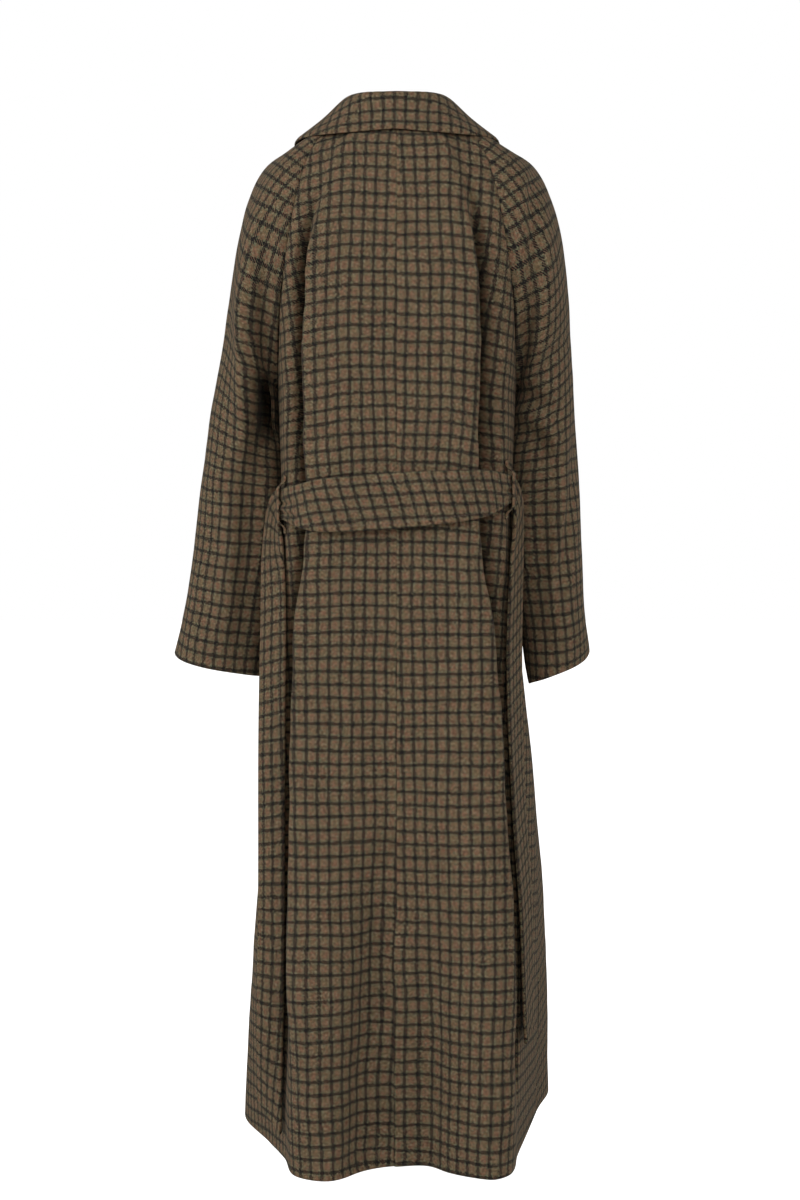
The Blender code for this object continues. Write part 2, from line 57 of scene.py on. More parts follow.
# sizes that several pieces share
body = {
    "cloth": 2.4 * mm,
    "seamGap": 0.3 * mm,
    "frontLap": 30 * mm,
    "lapReach": 66 * mm,
    "lapFade": 33 * mm,
    "lapLift": 3.8 * mm,
    "collarLift": 4.2 * mm,
    "collarLiftLevel": 0.3,
    "neckCurve": 1.6,
    "lipX": 0.28,
    "lipY": 0.22,
    "wrapFrom": 0.7,
    "foldShare": 0.66,
    "coarseScale": 13.0,
    "fineScale": 41.0,
    "fineAway": (3.1, 7.7, 1.3),
    "ventTop": 1.66,
    "edgeSteps": (0, 0.9 * mm, 2.0 * mm, 3.4 * mm, 5.4 * mm),
    "grooveDepth": 0.9 * mm,
    "grooveWidth": 1.7 * mm,
    "weltHeight": 0.15 * mm,
    "weltAt": 6.0 * mm,
    "weltWidth": 3.2 * mm,
    "rubAndHighlightWidth": 3.0 * mm,
}


def sizeTable(text):  # columns by name, from rows of millimetres; level has no unit
    lines = [line.split() for line in text.strip().splitlines()]
    values = np.array(lines[1:], float)
    columns = {name: values[:, i] * mm for i, name in enumerate(lines[0])}
    columns["level"] = values[:, 0]
    return columns


# level 0 is the neckline, 1 the armpit and 2 the hem or the cuff
# raglan seams of back and front, and the side seam below them
backRaglan = sizeTable("""
level    x    y     z
0.00    50   60    16
0.20   100   76   -14
0.40   122  103   -75
0.60   135  110  -145
0.80   145   88  -225
0.92   149   48  -292
1.00   151    5  -325
""")

frontRaglan = sizeTable("""
level    x    y     z
0.00    68  -30     4
0.20    92  -62   -30
0.40   112  -90   -85
0.60   130  -98  -150
0.80   143  -76  -228
0.92   149  -38  -293
1.00   151    5  -325
""")

sideSeamLeft = sizeTable("""
level    x    y     z
1.00   151    5  -325
1.14   148    8  -460
1.31   154    8  -622
1.42   162    4  -728
1.55   172   -5  -853
1.79   191  -20 -1083
2.00   204  -35 -1285
""")

sideSeamRight = sizeTable("""
level    x    y     z
1.00   151    5  -325
1.14   148    8  -460
1.31   155    8  -622
1.42   167    2  -728
1.55   179  -10  -853
1.79   187  -30 -1083
2.00   187  -52 -1285
""")

# Each back falls from the shoulder blade in a lobe, turns in at a deep fold and out again at a ridge.
# lip is how far the lobe's edge lies back from the fold, in thousandths of their distance.
backLeft = sizeTable("""
level  centreZ  centreY  lobeX  lobeY  foldX  foldY  ridgeX  ridgeY  lip
0.00       18        72      18      71      32      67       42       63  280
0.20      -22       106      45     102      70      93       87       83  280
0.40      -90       124      60     124      95     113      110      109  280
0.60     -155       140      75     141     114     120      125      119  200
0.80     -232       147      82     150     117     113      133      108  140
1.00     -325       149      86     154     118     106      139       92  150
1.14     -460       148      88     151     118     116      137       96  310
1.31     -622       152      85     158     133     106      145       76  170
1.55     -853       160      85     176     139     101      156       66  140
1.79    -1083       160      85     196     143     112      167       70  190
2.00    -1285       158      82     212     143     130      165       70  260
""")

backRight = sizeTable("""
level  centreZ  centreY  lobeX  lobeY  foldX  foldY  ridgeX  ridgeY  lip
0.00       18        72      18      71      32      67       42       63  280
0.20      -22       106      42     102      66      93       86       83  280
0.40      -90       124      55     124      90     113      108      109  280
0.60     -155       140      66     142     101     120      120      121  200
0.80     -232       147      70     151     103     112      128      113  140
1.00     -325       149      72     155     104     106      134       98  150
1.14     -460       148      75     152     108     114      134       98  310
1.31     -622       152      90     159     125     108      146       70  180
1.55     -853       160     100     180     141     102      160       48  150
1.79    -1083       160     110     200     154     108      168       50  200
2.00    -1285       158     114     208     153     120      168       45  300
""")

front = sizeTable("""
level  centreZ  centreY  chestX  chestY  foldX  foldY  leftX  leftY  rightX  rightY
0.00      -86       -84      30      -74      46      -60      58     -46      58      -46
0.20     -110       -97      42      -90      62      -82      78     -74      78      -74
0.40     -150      -114      58     -111      84     -105     100    -100     100     -100
0.60     -200      -130      68     -129      98     -119     116    -112     116     -112
0.80     -258      -140      76     -138     106     -124     128    -106     128     -106
1.00     -325      -143      80     -141     110     -122     136     -92     136      -92
1.14     -460      -138      82     -133     112     -112     136     -84     136      -84
1.31     -622      -149      86     -147     118     -118     146     -88     148      -92
1.55     -853      -177      92     -176     130     -132     164    -100     176     -112
1.79    -1083      -206     100     -206     142     -152     182    -116     200     -138
2.00    -1285      -229     108     -228     150     -176     188    -126     207     -160
""")

# The line over the shoulder and down the outside of each sleeve, and how the cloth leaves the two seams.
# turn is the angle at which it leaves the inner seam, in thousandths of a radian from sideways.
sleeveLeft = sizeTable("""
level  outX  outY  outZ   turn  reachIn  reachOut  reachFront
0.00     70      4     16   -430     18        24         18
0.20    122      0    -12   -260     28        40         28
0.40    165     -3    -39    -90     45        56         45
0.60    188     -6    -82     90     52        72         52
0.80    203     -8   -142    610     60        86         60
0.92    212     -9   -195   1130     80        95         80
1.00    220    -10   -245   1540    100       100         92
1.25    241    -12   -365   1570    122       102         80
1.50    258    -15   -485   1570    122       102         76
1.75    273    -20   -595   1570    108        96         78
2.00    290    -28   -660   1570     86        84         82
""")

sleeveRight = sizeTable("""
level  outX  outY  outZ   turn  reachIn  reachOut  reachFront
0.00     70      4     16   -430     18        24         18
0.20    126      0    -12   -260     28        40         28
0.40    170     -3    -36    -90     45        56         45
0.60    195     -6    -80     90     52        72         52
0.80    211     -8   -140    610     60        86         60
0.92    217     -9   -193   1130     80        95         80
1.00    221    -10   -245   1540    100       100         92
1.25    229    -14   -365   1570    122       102         80
1.50    237    -20   -485   1570    122       102         76
1.75    243    -30   -598   1570    108        96         78
2.00    252    -55   -660   1570     86        84         82
""")

underarmLeft = sizeTable("""
level    x    y     z
1.00   151    5  -325
1.25   149  -42  -425
1.50   152  -46  -525
1.75   166  -36  -622
2.00   173  -20  -690
""")

underarmRight = sizeTable("""
level    x    y     z
1.00   151    5  -325
1.25   149  -42  -425
1.50   152  -46  -525
1.75   164  -38  -628
2.00   171  -18  -700
""")

# The collar's roll line and outer edge, from the centre back, 0, round the shoulder to the front end, 1.
collar = sizeTable("""
level  rollX  rollY  rollZ  edgeX  edgeY  edgeZ
0.00      0      78      46      0       98       0
0.22     37      69      46     65       94      -4
0.42     59      37      45    112       59      -5
0.58     64       4      43    128       14      -8
0.66     64     -16      38    130      -16     -11
0.74     62     -36      28    128      -50     -20
0.81     56     -57       6    120      -82     -54
0.88     45     -73     -23    107     -108    -100
1.00      9     -90     -64     76     -128    -158
""")

# The belt's two edges, from the left tail's end, through the loops and across the back, to the right tail.
belt = sizeTable("""
level  topX  topY  topZ  lowX  lowY  lowZ
0.0     176     95  -1222    147    136  -1250
1.0     175     84  -1050    145    122  -1060
2.0     173     68   -850    143    109   -852
3.0     171     56   -650    141    104   -650
4.0     169     47   -540    142     95   -542
5.0     165     43   -482    144     90   -506
6.0     158     53   -456    147     84   -491
7.0     150     71   -446    147     83   -479
8.0     142     95   -443    140    100   -478
9.0     119    137   -435    119    139   -485
10.0     92    157   -428     92    159   -488
11.0     50    158   -424     50    162   -487
12.0      0    155   -420      0    160   -484
13.0    -45    159   -418    -45    163   -479
14.0    -80    157   -417    -80    161   -475
15.0   -110    137   -418   -110    141   -470
16.0   -133    110   -424   -132    114   -461
17.0   -142     92   -428   -140     99   -457
18.0   -150     71   -437   -146     86   -464
19.0   -157     55   -458   -147     86   -484
20.0   -158     52   -520   -143     94   -528
21.0   -156     60   -650   -138    108   -650
22.0   -163     58   -850   -147    106   -850
23.0   -172     60  -1000   -157    110  -1000
24.0   -175     62  -1135   -163    114  -1140
""")

words = {leftSide: "left", rightSide: "right"}
sideSeam = {leftSide: sideSeamLeft, rightSide: sideSeamRight}
backTable = {leftSide: backLeft, rightSide: backRight}
sleeveTable = {leftSide: sleeveLeft, rightSide: sleeveRight}
underarm = {leftSide: underarmLeft, rightSide: underarmRight}


# curves and surfaces

def smoothColumn(levels, values, at):  # passes through the values, never overshoots them
    step = np.diff(levels)
    slope = np.diff(values) / step
    tangent = np.empty(len(values))
    tangent[0], tangent[-1] = slope[0], slope[-1]
    for i in range(1, len(values) - 1):
        before, after = slope[i - 1], slope[i]
        tangent[i] = 0
        if before * after > 0:
            w1 = 2 * step[i] + step[i - 1]
            w2 = step[i] + 2 * step[i - 1]
            tangent[i] = (w1 + w2) / (w1 / before + w2 / after)
    i = np.clip(np.searchsorted(levels, at, side="right") - 1, 0, len(step) - 1)
    t = (at - levels[i]) / step[i]
    ends = values[i] * (1 + 2 * t) * (1 - t) ** 2 + values[i + 1] * t * t * (3 - 2 * t)
    return ends + step[i] * (tangent[i] * t * (1 - t) ** 2 - tangent[i + 1] * t * t * (1 - t))


def railPoints(columns, names, levels):
    return np.stack([smoothColumn(columns["level"], columns[n], levels) for n in names], axis=1)


def unit(vectors):
    return vectors / np.maximum(np.linalg.norm(vectors, axis=-1, keepdims=True), 1e-12)


def ease(x):
    x = np.clip(x, 0, 1)
    return x * x * (3 - 2 * x)


def rising(value, start, width):  # from 0 at the start to 1 past the width
    return ease((value - start) / width)


def runAlong(points):  # distance from the first column, along each row
    steps = np.linalg.norm(np.diff(points, axis=1), axis=2)
    return np.concatenate([np.zeros((len(steps), 1)), np.cumsum(steps, axis=1)], axis=1)


def through(controls, firstGhost, lastGhost, places):
    line = np.concatenate([firstGhost[:, None], controls, lastGhost[:, None]], axis=1)
    gaps = np.linalg.norm(np.diff(line, axis=1), axis=2, keepdims=True)
    tangents = (line[:, 2:] - line[:, :-2]) / (gaps[:, 1:] + gaps[:, :-1])
    i = np.minimum(places.astype(int), controls.shape[1] - 2)
    t = (places - i)[None, :, None]
    length = gaps[:, 1:-1][:, i]
    start, end = controls[:, i], controls[:, i + 1]
    leave, arrive = tangents[:, i] * length, tangents[:, i + 1] * length
    points = start * (1 + 2 * t) * (1 - t) ** 2 + end * t * t * (3 - 2 * t)
    points += leave * t * (1 - t) ** 2 - arrive * t * t * (1 - t)
    slopes = (end - start) * 6 * t * (1 - t) + leave * (1 - t) * (1 - 3 * t) + arrive * t * (3 * t - 2)
    return points, slopes


def outward(points, slopes, side):
    return unit(np.cross(slopes, np.gradient(points, axis=0))) * side


def withHeights(controls, centreZ, seamZ, curve):
    run = runAlong(controls[:, :, :2])
    share = run / run[:, -1:]
    controls[:, :, 2] = centreZ[:, None] + (seamZ - centreZ)[:, None] * share**curve
    return controls


def pastSeam(last, before, neighbour, levels):  # straight on above the armpit, to the next panel below it
    straight = 2 * last - before
    around = np.concatenate([neighbour, last[:, 2:]], axis=1)
    wrap = np.clip((levels - body["wrapFrom"]) / (1 - body["wrapFrom"]), 0, 1)[:, None]
    return straight * (1 - wrap) + around * wrap


def bodySeam(side, raglan, levels):
    upper = railPoints(raglan, ("x", "y", "z"), np.minimum(levels, 1))
    lower = railPoints(sideSeam[side], ("x", "y", "z"), np.maximum(levels, 1))
    return np.where((levels <= 1)[:, None], upper, lower)


def backSection(side, levels, places):
    columns = backTable[side]
    lobe, fold, ridge = (railPoints(columns, (n + "X", n + "Y"), levels) for n in ("lobe", "fold", "ridge"))
    seam = bodySeam(side, backRaglan, levels)
    lipBack = smoothColumn(columns["level"], columns["lip"], levels)
    lip = fold + (lobe - fold) * np.stack([lipBack, np.full(len(levels), 1 - body["lipY"])], axis=1)
    controls = np.zeros((len(levels), 6, 3))
    controls[:, 0, 1] = smoothColumn(columns["level"], columns["centreY"], levels)
    for i, point in enumerate((lobe, lip, fold, ridge, seam[:, :2]), start=1):
        controls[:, i, :2] = point
    centreZ = smoothColumn(columns["level"], columns["centreZ"], levels)
    controls = withHeights(controls, centreZ, seam[:, 2], 1.0)
    mirrored = controls[:, 1] * np.array([-1, 1, 1])
    flank = railPoints(front, (words[side] + "X", words[side] + "Y"), levels)
    beyond = pastSeam(controls[:, -1], controls[:, -2], flank, levels)
    points, slopes = through(controls, mirrored, beyond, places)
    points, slopes = points * np.array([side, 1, 1]), slopes * np.array([side, 1, 1])
    return points, outward(points, slopes, side)


def frontSection(side, levels, places):
    names = ("chest", "fold", words[side])
    chest, fold, flank = (railPoints(front, (n + "X", n + "Y"), levels) for n in names)
    seam = bodySeam(side, frontRaglan, levels)
    lip = fold + (chest - fold) * np.array([body["lipX"], 1 - body["lipY"]])
    controls = np.zeros((len(levels), 6, 3))
    controls[:, 0, 1] = smoothColumn(front["level"], front["centreY"], levels)
    for i, point in enumerate((chest, lip, fold, flank, seam[:, :2]), start=1):
        controls[:, i, :2] = point
    centreZ = smoothColumn(front["level"], front["centreZ"], levels)
    controls = withHeights(controls, centreZ, seam[:, 2], body["neckCurve"])
    centre, chest = controls[:, 0], controls[:, 1]
    share = body["frontLap"] / chest[:, 0]
    edge = centre.copy()
    edge[:, 0] = -body["frontLap"]
    edge[:, 1] += (chest - centre)[:, 1] * share**2
    edge[:, 2] += (chest - centre)[:, 2] * share ** body["neckCurve"]
    controls = np.concatenate([edge[:, None], controls], axis=1)
    ridge = railPoints(backTable[side], ("ridgeX", "ridgeY"), levels)
    beyond = pastSeam(controls[:, -1], controls[:, -2], ridge, levels)
    points, slopes = through(controls, 2 * edge - centre, beyond, places)
    points, slopes = points * np.array([side, 1, 1]), slopes * np.array([side, 1, 1])
    normals = -outward(points, slopes, side)
    if side == leftSide:  # the left front lies under the right one
        sunk = ease((body["lapReach"] - points[:, :, 0]) / body["lapFade"])
        lift = body["lapLift"] + body["collarLift"] * np.clip(1 - levels / body["collarLiftLevel"], 0, 1)
        points = points - normals * (lift[:, None] * sunk)[:, :, None]
    return points, normals


def sleeveSection(side, face, levels, shares):  # face 1 is the back half, -1 the front half
    columns = sleeveTable[side]
    raglan = railPoints(backRaglan if face == 1 else frontRaglan, ("x", "y", "z"), np.minimum(levels, 1))
    below = railPoints(underarm[side], ("x", "y", "z"), np.maximum(levels, 1))
    inner = np.where((levels <= 1)[:, None], raglan, below)
    outer = railPoints(columns, ("outX", "outY", "outZ"), levels)
    turn = smoothColumn(columns["level"], columns["turn"], levels)
    reachIn = smoothColumn(columns["level"], columns["reachIn" if face == 1 else "reachFront"], levels)
    reachOut = smoothColumn(columns["level"], columns["reachOut"], levels)
    rise = (outer - inner)[:, 2] / 3
    leave = np.stack([np.cos(turn) * reachIn, face * np.sin(turn) * reachIn, rise], axis=1)
    arrive = np.stack([np.zeros(len(levels)), face * reachOut, -rise], axis=1)
    a, b, c, d = (p[:, None] for p in (inner, inner + leave, outer + arrive, outer))
    s = shares[None, :, None]
    points = a * (1 - s) ** 3 + b * 3 * s * (1 - s) ** 2 + c * 3 * s * s * (1 - s) + d * s**3
    slopes = 3 * ((b - a) * (1 - s) ** 2 + (c - b) * 2 * s * (1 - s) + (d - c) * s * s)
    points, slopes = points * np.array([side, 1, 1]), slopes * np.array([side, 1, 1])
    return points, outward(points, slopes, side) * face


# cloth grids

def evenColumns(points, normals, places, count, fold=None):  # columns lie closer beside seams and a fold
    run = runAlong(points)
    total = run[:, -1:]
    near = np.array(body["edgeSteps"])[None]
    stops, counts = [np.zeros_like(total), total], [count]
    if fold is not None:
        stops.insert(1, np.array([[np.interp(fold, places, row)] for row in run]))
        counts = [round(count * body["foldShare"]), round(count * (1 - body["foldShare"]))]
    targets = []
    for start, stop, number in zip(stops[:-1], stops[1:], counts):
        middle = np.linspace(0, 1, number)[None]
        first, last = start + near[:, -1:], stop - near[:, -1:]
        targets += [start + near[:, :-1], first + (last - first) * middle, stop - near[:, -2:0:-1]]
    targets = np.concatenate([*targets, total], axis=1)
    spread = np.broadcast_to(places[None, :, None], points.shape[:2] + (1,))
    full = np.concatenate([points, normals, spread], axis=2)
    even = np.empty(targets.shape + (7,))
    for i in range(len(full)):
        for k in range(7):
            even[i, :, k] = np.interp(targets[i], run[i], full[i, :, k])
    return {
        "points": even[:, :, :3],
        "normals": unit(even[:, :, 3:6]),
        "place": even[:, :, 6],
        "run": targets,
        "toEnd": total - targets,
    }


def shareSeam(first, firstColumn, second, secondColumn, rows):  # one normal for both edges of a seam
    a, b = first["normals"][rows, firstColumn], second["normals"][rows, secondColumn]
    alike = (a * b).sum(axis=1, keepdims=True) > 0.5
    mean = unit(a + b)
    first["normals"][rows, firstColumn] = np.where(alike, mean, a)
    second["normals"][rows, secondColumn] = np.where(alike, mean, b)


def softProfile(q):
    return (1 - 0.5 * q * q) * np.exp(-0.85 * q * q)


def creaseField(creases, x, z):  # rows of a crease: x, z, half width and height, in mm
    total = np.zeros(x.size)
    spots = np.stack([x.ravel(), z.ravel()], axis=1)
    for crease in creases:
        rows = np.array(crease, float) * mm
        ends = np.arange(len(rows), dtype=float)
        at = np.linspace(0, len(rows) - 1, 6 * (len(rows) - 1) + 1)
        line = np.stack([smoothColumn(ends, rows[:, k], at) for k in range(4)], axis=1)
        start, step = line[:-1], np.diff(line, axis=0)
        gap = spots[:, None] - start[None, :, :2]
        share = np.clip((gap * step[None, :, :2]).sum(2) / (step[:, :2] ** 2).sum(1), 0, 1)
        far = np.linalg.norm(gap - share[:, :, None] * step[None, :, :2], axis=2)
        best = far.argmin(axis=1)
        pick = (np.arange(len(spots)), best)
        width = start[best, 2] + share[pick] * step[best, 2]
        height = start[best, 3] + share[pick] * step[best, 3]
        total += height * softProfile(far[pick] / width)
    return total.reshape(x.shape)


def unevenness(points, coarse, fine):  # slight waviness of a hung cloth, the same on both sides of a seam
    away = Vector(body["fineAway"])
    values = []
    for p in points.reshape(-1, 3).tolist():
        broad = noise.noise(Vector(p) * body["coarseScale"])
        small = noise.noise(Vector(p) * body["fineScale"] + away)
        values.append(coarse * broad + fine * small)
    return np.array(values).reshape(points.shape[:2])


def seamGroove(distance):
    dip = body["grooveDepth"] * np.exp(-((distance / body["grooveWidth"]) ** 2))
    welt = body["weltHeight"] * np.exp(-(((distance - body["weltAt"]) / body["weltWidth"]) ** 2))
    return welt - dip


def drawnIn(points):
    points = points.copy()
    for edge, inside in ((0, 1), (-1, -2)):
        points[:, edge] += unit(points[:, inside] - points[:, edge]) * body["seamGap"] / 2
    return points


def grainMap(points, start, referenceRow):  # cloth metres: across from the start column, down from a row
    across = runAlong(points)
    across -= across[:, start][:, None]
    weft = unit(np.gradient(points, axis=1))
    move = np.diff(points, axis=0)
    way = unit(weft[1:] + weft[:-1])
    down = np.linalg.norm(move - (move * way).sum(2, keepdims=True) * way, axis=2)
    along = np.concatenate([np.zeros((1, points.shape[1])), np.cumsum(down, axis=0)], axis=0)
    along -= along[referenceRow][None]
    return np.stack([across, along], axis=2)


def sleeveGrain(points):  # straight down the overarm seam, the other edge as far off as the cloth is wide
    across = runAlong(points)
    total = across[:, -1]
    edges = []
    for column, sideways in ((0, np.diff(total)), (-1, np.zeros(len(points) - 1))):
        down = np.linalg.norm(np.diff(points[:, column], axis=0), axis=1)
        run = np.concatenate([[0], np.cumsum(np.sqrt(np.maximum(down**2 - sideways**2, 0)))])
        edges.append((run - run[-1])[:, None])
    share = across / total[:, None]
    return np.stack([across - total[:, None], edges[0] * (1 - share) + edges[1] * share], axis=2)


def laidFlat(points, guess):  # eases a first map until lengths agree with the cloth's, as a cut piece lies
    sizes = zip(guess.shape, panels["flatGrid"])
    rows, columns = (np.linspace(0, n - 1, m).round().astype(int) for n, m in sizes)
    worn, flat = points[np.ix_(rows, columns)], guess[np.ix_(rows, columns)].copy()
    whole, first, last = slice(None), slice(None, -1), slice(1, None)
    links = [((whole, first), (whole, last)), ((first, whole), (last, whole)),
             ((first, first), (last, last)), ((first, last), (last, first))]
    lengths = [np.linalg.norm(worn[b] - worn[a], axis=2, keepdims=True) for a, b in links]
    for _ in range(panels["flatPasses"]):
        move = np.zeros_like(flat)
        for (a, b), length in zip(links, lengths):
            gap = flat[b] - flat[a]
            pull = gap * (1 - length / np.maximum(np.linalg.norm(gap, axis=2, keepdims=True), 1e-9))
            move[a] += pull
            move[b] -= pull
        flat += panels["flatPull"] * move
    everyRow, everyColumn = np.arange(guess.shape[0]), np.arange(guess.shape[1])
    eased = guess.copy()
    for k in (0, 1):
        change = flat[:, :, k] - guess[:, :, k][np.ix_(rows, columns)]
        wide = np.array([np.interp(everyColumn, columns, row) for row in change])
        eased[:, :, k] += np.array([np.interp(everyRow, rows, line) for line in wide.T]).T
    return eased


def turned(grain, angle):
    c, s = math.cos(angle), math.sin(angle)
    return grain @ np.array([[c, s], [-s, c]])


def clothMesh(name, outer, normals, thickness, grain, freeEdges, material):
    # freeEdges: which of top, end, bottom, start are open edges, rounded over the cloth's thickness
    rows, columns = outer.shape[:2]
    inner = outer - normals * thickness
    rim = [(0, j) for j in range(columns - 1)] + [(i, columns - 1) for i in range(rows - 1)]
    rim += [(rows - 1, j) for j in range(columns - 1, 0, -1)] + [(i, 0) for i in range(rows - 1, 0, -1)]
    ri, rj = np.array(rim).T
    inI, inJ = np.clip(ri, 1, rows - 2), np.clip(rj, 1, columns - 2)
    away = unit(outer[ri, rj] - outer[inI, inJ])
    grainAway = unit(grain[ri, rj] - grain[inI, inJ])
    sides = {"top": ri == 0, "bottom": ri == rows - 1, "start": rj == 0, "end": rj == columns - 1}
    free = np.zeros(len(rim))
    for edge in freeEdges:
        free = np.maximum(free, sides[edge])
    half = thickness / 2
    middle = outer[ri, rj] - normals[ri, rj] * half
    bands, grains = [], []
    for angle in (0.25 * math.pi, 0.5 * math.pi, 0.75 * math.pi):
        bulge = half * math.sin(angle) * free[:, None]
        bands.append(middle + normals[ri, rj] * half * math.cos(angle) + away * bulge)
        grains.append(grain[ri, rj] + grainAway * half * angle * free[:, None])
    verts = np.concatenate([outer.reshape(-1, 3), inner.reshape(-1, 3), *bands])
    grainAll = np.concatenate([grain.reshape(-1, 2), grain.reshape(-1, 2), *grains])
    index = np.arange(rows * columns).reshape(rows, columns)
    corners = (index[:-1, :-1], index[:-1, 1:], index[1:, 1:], index[1:, :-1])
    quads = np.stack(corners, axis=2).reshape(-1, 4)
    a, b, c = (outer.reshape(-1, 3)[quads[:, k]] for k in (0, 1, 3))
    facing = (np.cross(b - a, c - a) * normals.reshape(-1, 3)[quads[:, 0]]).sum()
    outerQuads = quads if facing > 0 else quads[:, ::-1]
    loops = [index[ri, rj]]
    for k in range(3):
        loops.append(2 * rows * columns + k * len(rim) + np.arange(len(rim)))
    loops.append(index[ri, rj] + rows * columns)
    strips = []
    for upper, lower in zip(loops[:-1], loops[1:]):
        strips.append(np.stack([upper, lower, np.roll(lower, -1), np.roll(upper, -1)], axis=1))
    strips = np.concatenate(strips)
    strips = strips if facing > 0 else strips[:, ::-1]
    faces = np.concatenate([outerQuads, outerQuads[:, ::-1] + rows * columns, strips])
    mesh = bpy.data.meshes.new(name)
    mesh.from_pydata(verts.tolist(), [], faces.tolist())
    corner = np.empty(len(mesh.loops), dtype=np.int32)
    mesh.loops.foreach_get("vertex_index", corner)
    layer = mesh.uv_layers.new(name="grain")
    layer.data.foreach_set("uv", grainAll[corner].astype(np.float32).ravel())
    # how much an open edge has been rubbed, from 0 to 1; the same mask lightens the edge a little as a
    # painted highlight
    rub = np.zeros((rows, columns))
    ends = {"top": outer[:1], "bottom": outer[-1:], "start": outer[:, :1], "end": outer[:, -1:]}
    for edge in freeEdges:
        far = np.linalg.norm(outer - ends[edge], axis=2)
        rub = np.maximum(rub, np.exp(-((far / body["rubAndHighlightWidth"]) ** 2)))
    rubAndHighlightAll = np.concatenate([rub.ravel(), rub.ravel(), *[np.maximum(free, rub[ri, rj])] * 3])
    attribute = mesh.attributes.new("rub", "FLOAT", "POINT")
    attribute.data.foreach_set("value", rubAndHighlightAll.astype(np.float32))
    mesh.materials.append(material)
    mesh.shade_smooth()
    return addObject(name, mesh)


def addObject(name, data):
    thing = bpy.data.objects.new(name, data)
    bpy.context.scene.collection.objects.link(thing)
    return thing


def place(piece, node, slotName, flat, area, going=()):
    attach(piece, "root")
    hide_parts(node)


def report(name, grain, points):  # the cut that a grid would need, for the flat sizes in the settings
    du, dv = np.ptp(grain[:, :, 0]), np.ptp(grain[:, :, 1])
    a = np.cross(points[1:, 1:] - points[:-1, :-1], points[1:, :-1] - points[:-1, 1:])
    print(f"  {name}: {du:.3f} by {dv:.3f} m, {np.linalg.norm(a, axis=2).sum() / 2:.4f} m2")


# materials

def addNode(tree, kind, links=None, values=None, **properties):
    node = tree.nodes.new(kind)
    for key, value in properties.items():
        setattr(node, key, value)
    for key, value in (values or {}).items():
        node.inputs[key].default_value = value
    for key, source in (links or {}).items():
        tree.links.new(source, node.inputs[key])
    return node


def calc(tree, operation, *terms, clamp=False):
    node = tree.nodes.new("ShaderNodeMath")
    node.operation = operation
    node.use_clamp = clamp
    for i, term in enumerate(terms):
        if isinstance(term, (int, float)):
            node.inputs[i].default_value = term
        else:
            tree.links.new(term, node.inputs[i])
    return node.outputs[0]


def mixColour(tree, factor, first, second, blend="MIX"):
    node = tree.nodes.new("ShaderNodeMix")
    node.data_type = "RGBA"
    node.blend_type = blend
    sockets = [s for s in node.inputs if s.name in ("A", "B") and s.type == "RGBA"]
    for socket, value in zip([node.inputs[0], *sockets], (factor, first, second)):
        if isinstance(value, (int, float, tuple)):
            socket.default_value = value
        else:
            tree.links.new(value, socket)
    return [s for s in node.outputs if s.type == "RGBA"][0]


def rampValue(tree, value, low, high, lowTo=0.0, highTo=1.0):
    node = addNode(tree, "ShaderNodeMapRange", {"Value": value})
    for key, number in (("From Min", low), ("From Max", high), ("To Min", lowTo), ("To Max", highTo)):
        if isinstance(number, (int, float)):
            node.inputs[key].default_value = number
        else:
            tree.links.new(number, node.inputs[key])
    return node.outputs["Result"]


def noiseIn(tree, vector, scale, detail):
    return addNode(tree, "ShaderNodeTexNoise", {"Vector": vector}, {"Scale": scale, "Detail": detail}).outputs


def swing(tree, value, amount):  # a noise value, centred on nothing
    return calc(tree, "MULTIPLY", calc(tree, "SUBTRACT", value, 0.5), amount)


def between(tree, share, first, second):
    return calc(tree, "ADD", first, calc(tree, "MULTIPLY", share, calc(tree, "SUBTRACT", second, first)))


def newMaterial(name):
    material = bpy.data.materials.new(name)
    material.use_nodes = True
    return material, material.node_tree, material.node_tree.nodes["Principled BSDF"]


def setRamp(node, stops):
    elements = node.color_ramp.elements
    for i, (position, colour) in enumerate(stops):
        element = elements[i] if i < 2 else elements.new(position)
        element.position = position
        element.color = colour


# the check, its yarns and their fibres; a range is from, to, and the values at both
twill = {
    "threads": {
        "Thread": 0.74 * mm, "Warp Count": 19.0, "Weft Count": 22.0, "Line Threads": 5.8,
        "Warp Edge Threads": 3.0, "Weft Edge Threads": 3.0, "Line Cover": 0.2, "Heather": 0.5,
        "Rub": 0.0, "Ragged": 6.0,
    },
    "colours": ("Ground", "Patch", "Edge", "Warp Line", "Weft Line"),
    "wander": ((11.0, 1.0, 6.5 * mm), (240.0, 2.0, 1.6 * mm)),
    "napScale": 330.0,
    "napTone": 2.0,
    "patchScale": 85.0,
    "patchRange": (0.42, 0.6, 0.0, 0.75),
    "floats": 4.0,
    "warpShare": 0.375,
    "fibreScales": ((1700.0, 320.0, 1.0), (320.0, 1700.0, 1.0)),
    "cloudScale": 26.0,
    "cloudTone": 0.3,
    "crownShade": (0.0, 1.0, 0.72, 1.08),
    "rubHighlightTone": (0.0, 1.0, 1.0, 1.06),
    "fleckScale": 560.0,
    "fleckRange": (0.52, 0.66, 0.0, 0.8),
    "fleckOnLine": (0.0, 1.0, 1.0, 0.22),
    "hueScale": 210.0,
    "hues": ((0.36, (0.13, 0.045, 0.025, 1)), (0.66, (0.125, 0.135, 0.085, 1)),
             (0.5, (0.24, 0.187, 0.115, 1))),
    "crownHeight": 0.6,
    "napHeight": 0.8,
    "roughRange": (0.2, 1.2, 0.86, 0.98),
}


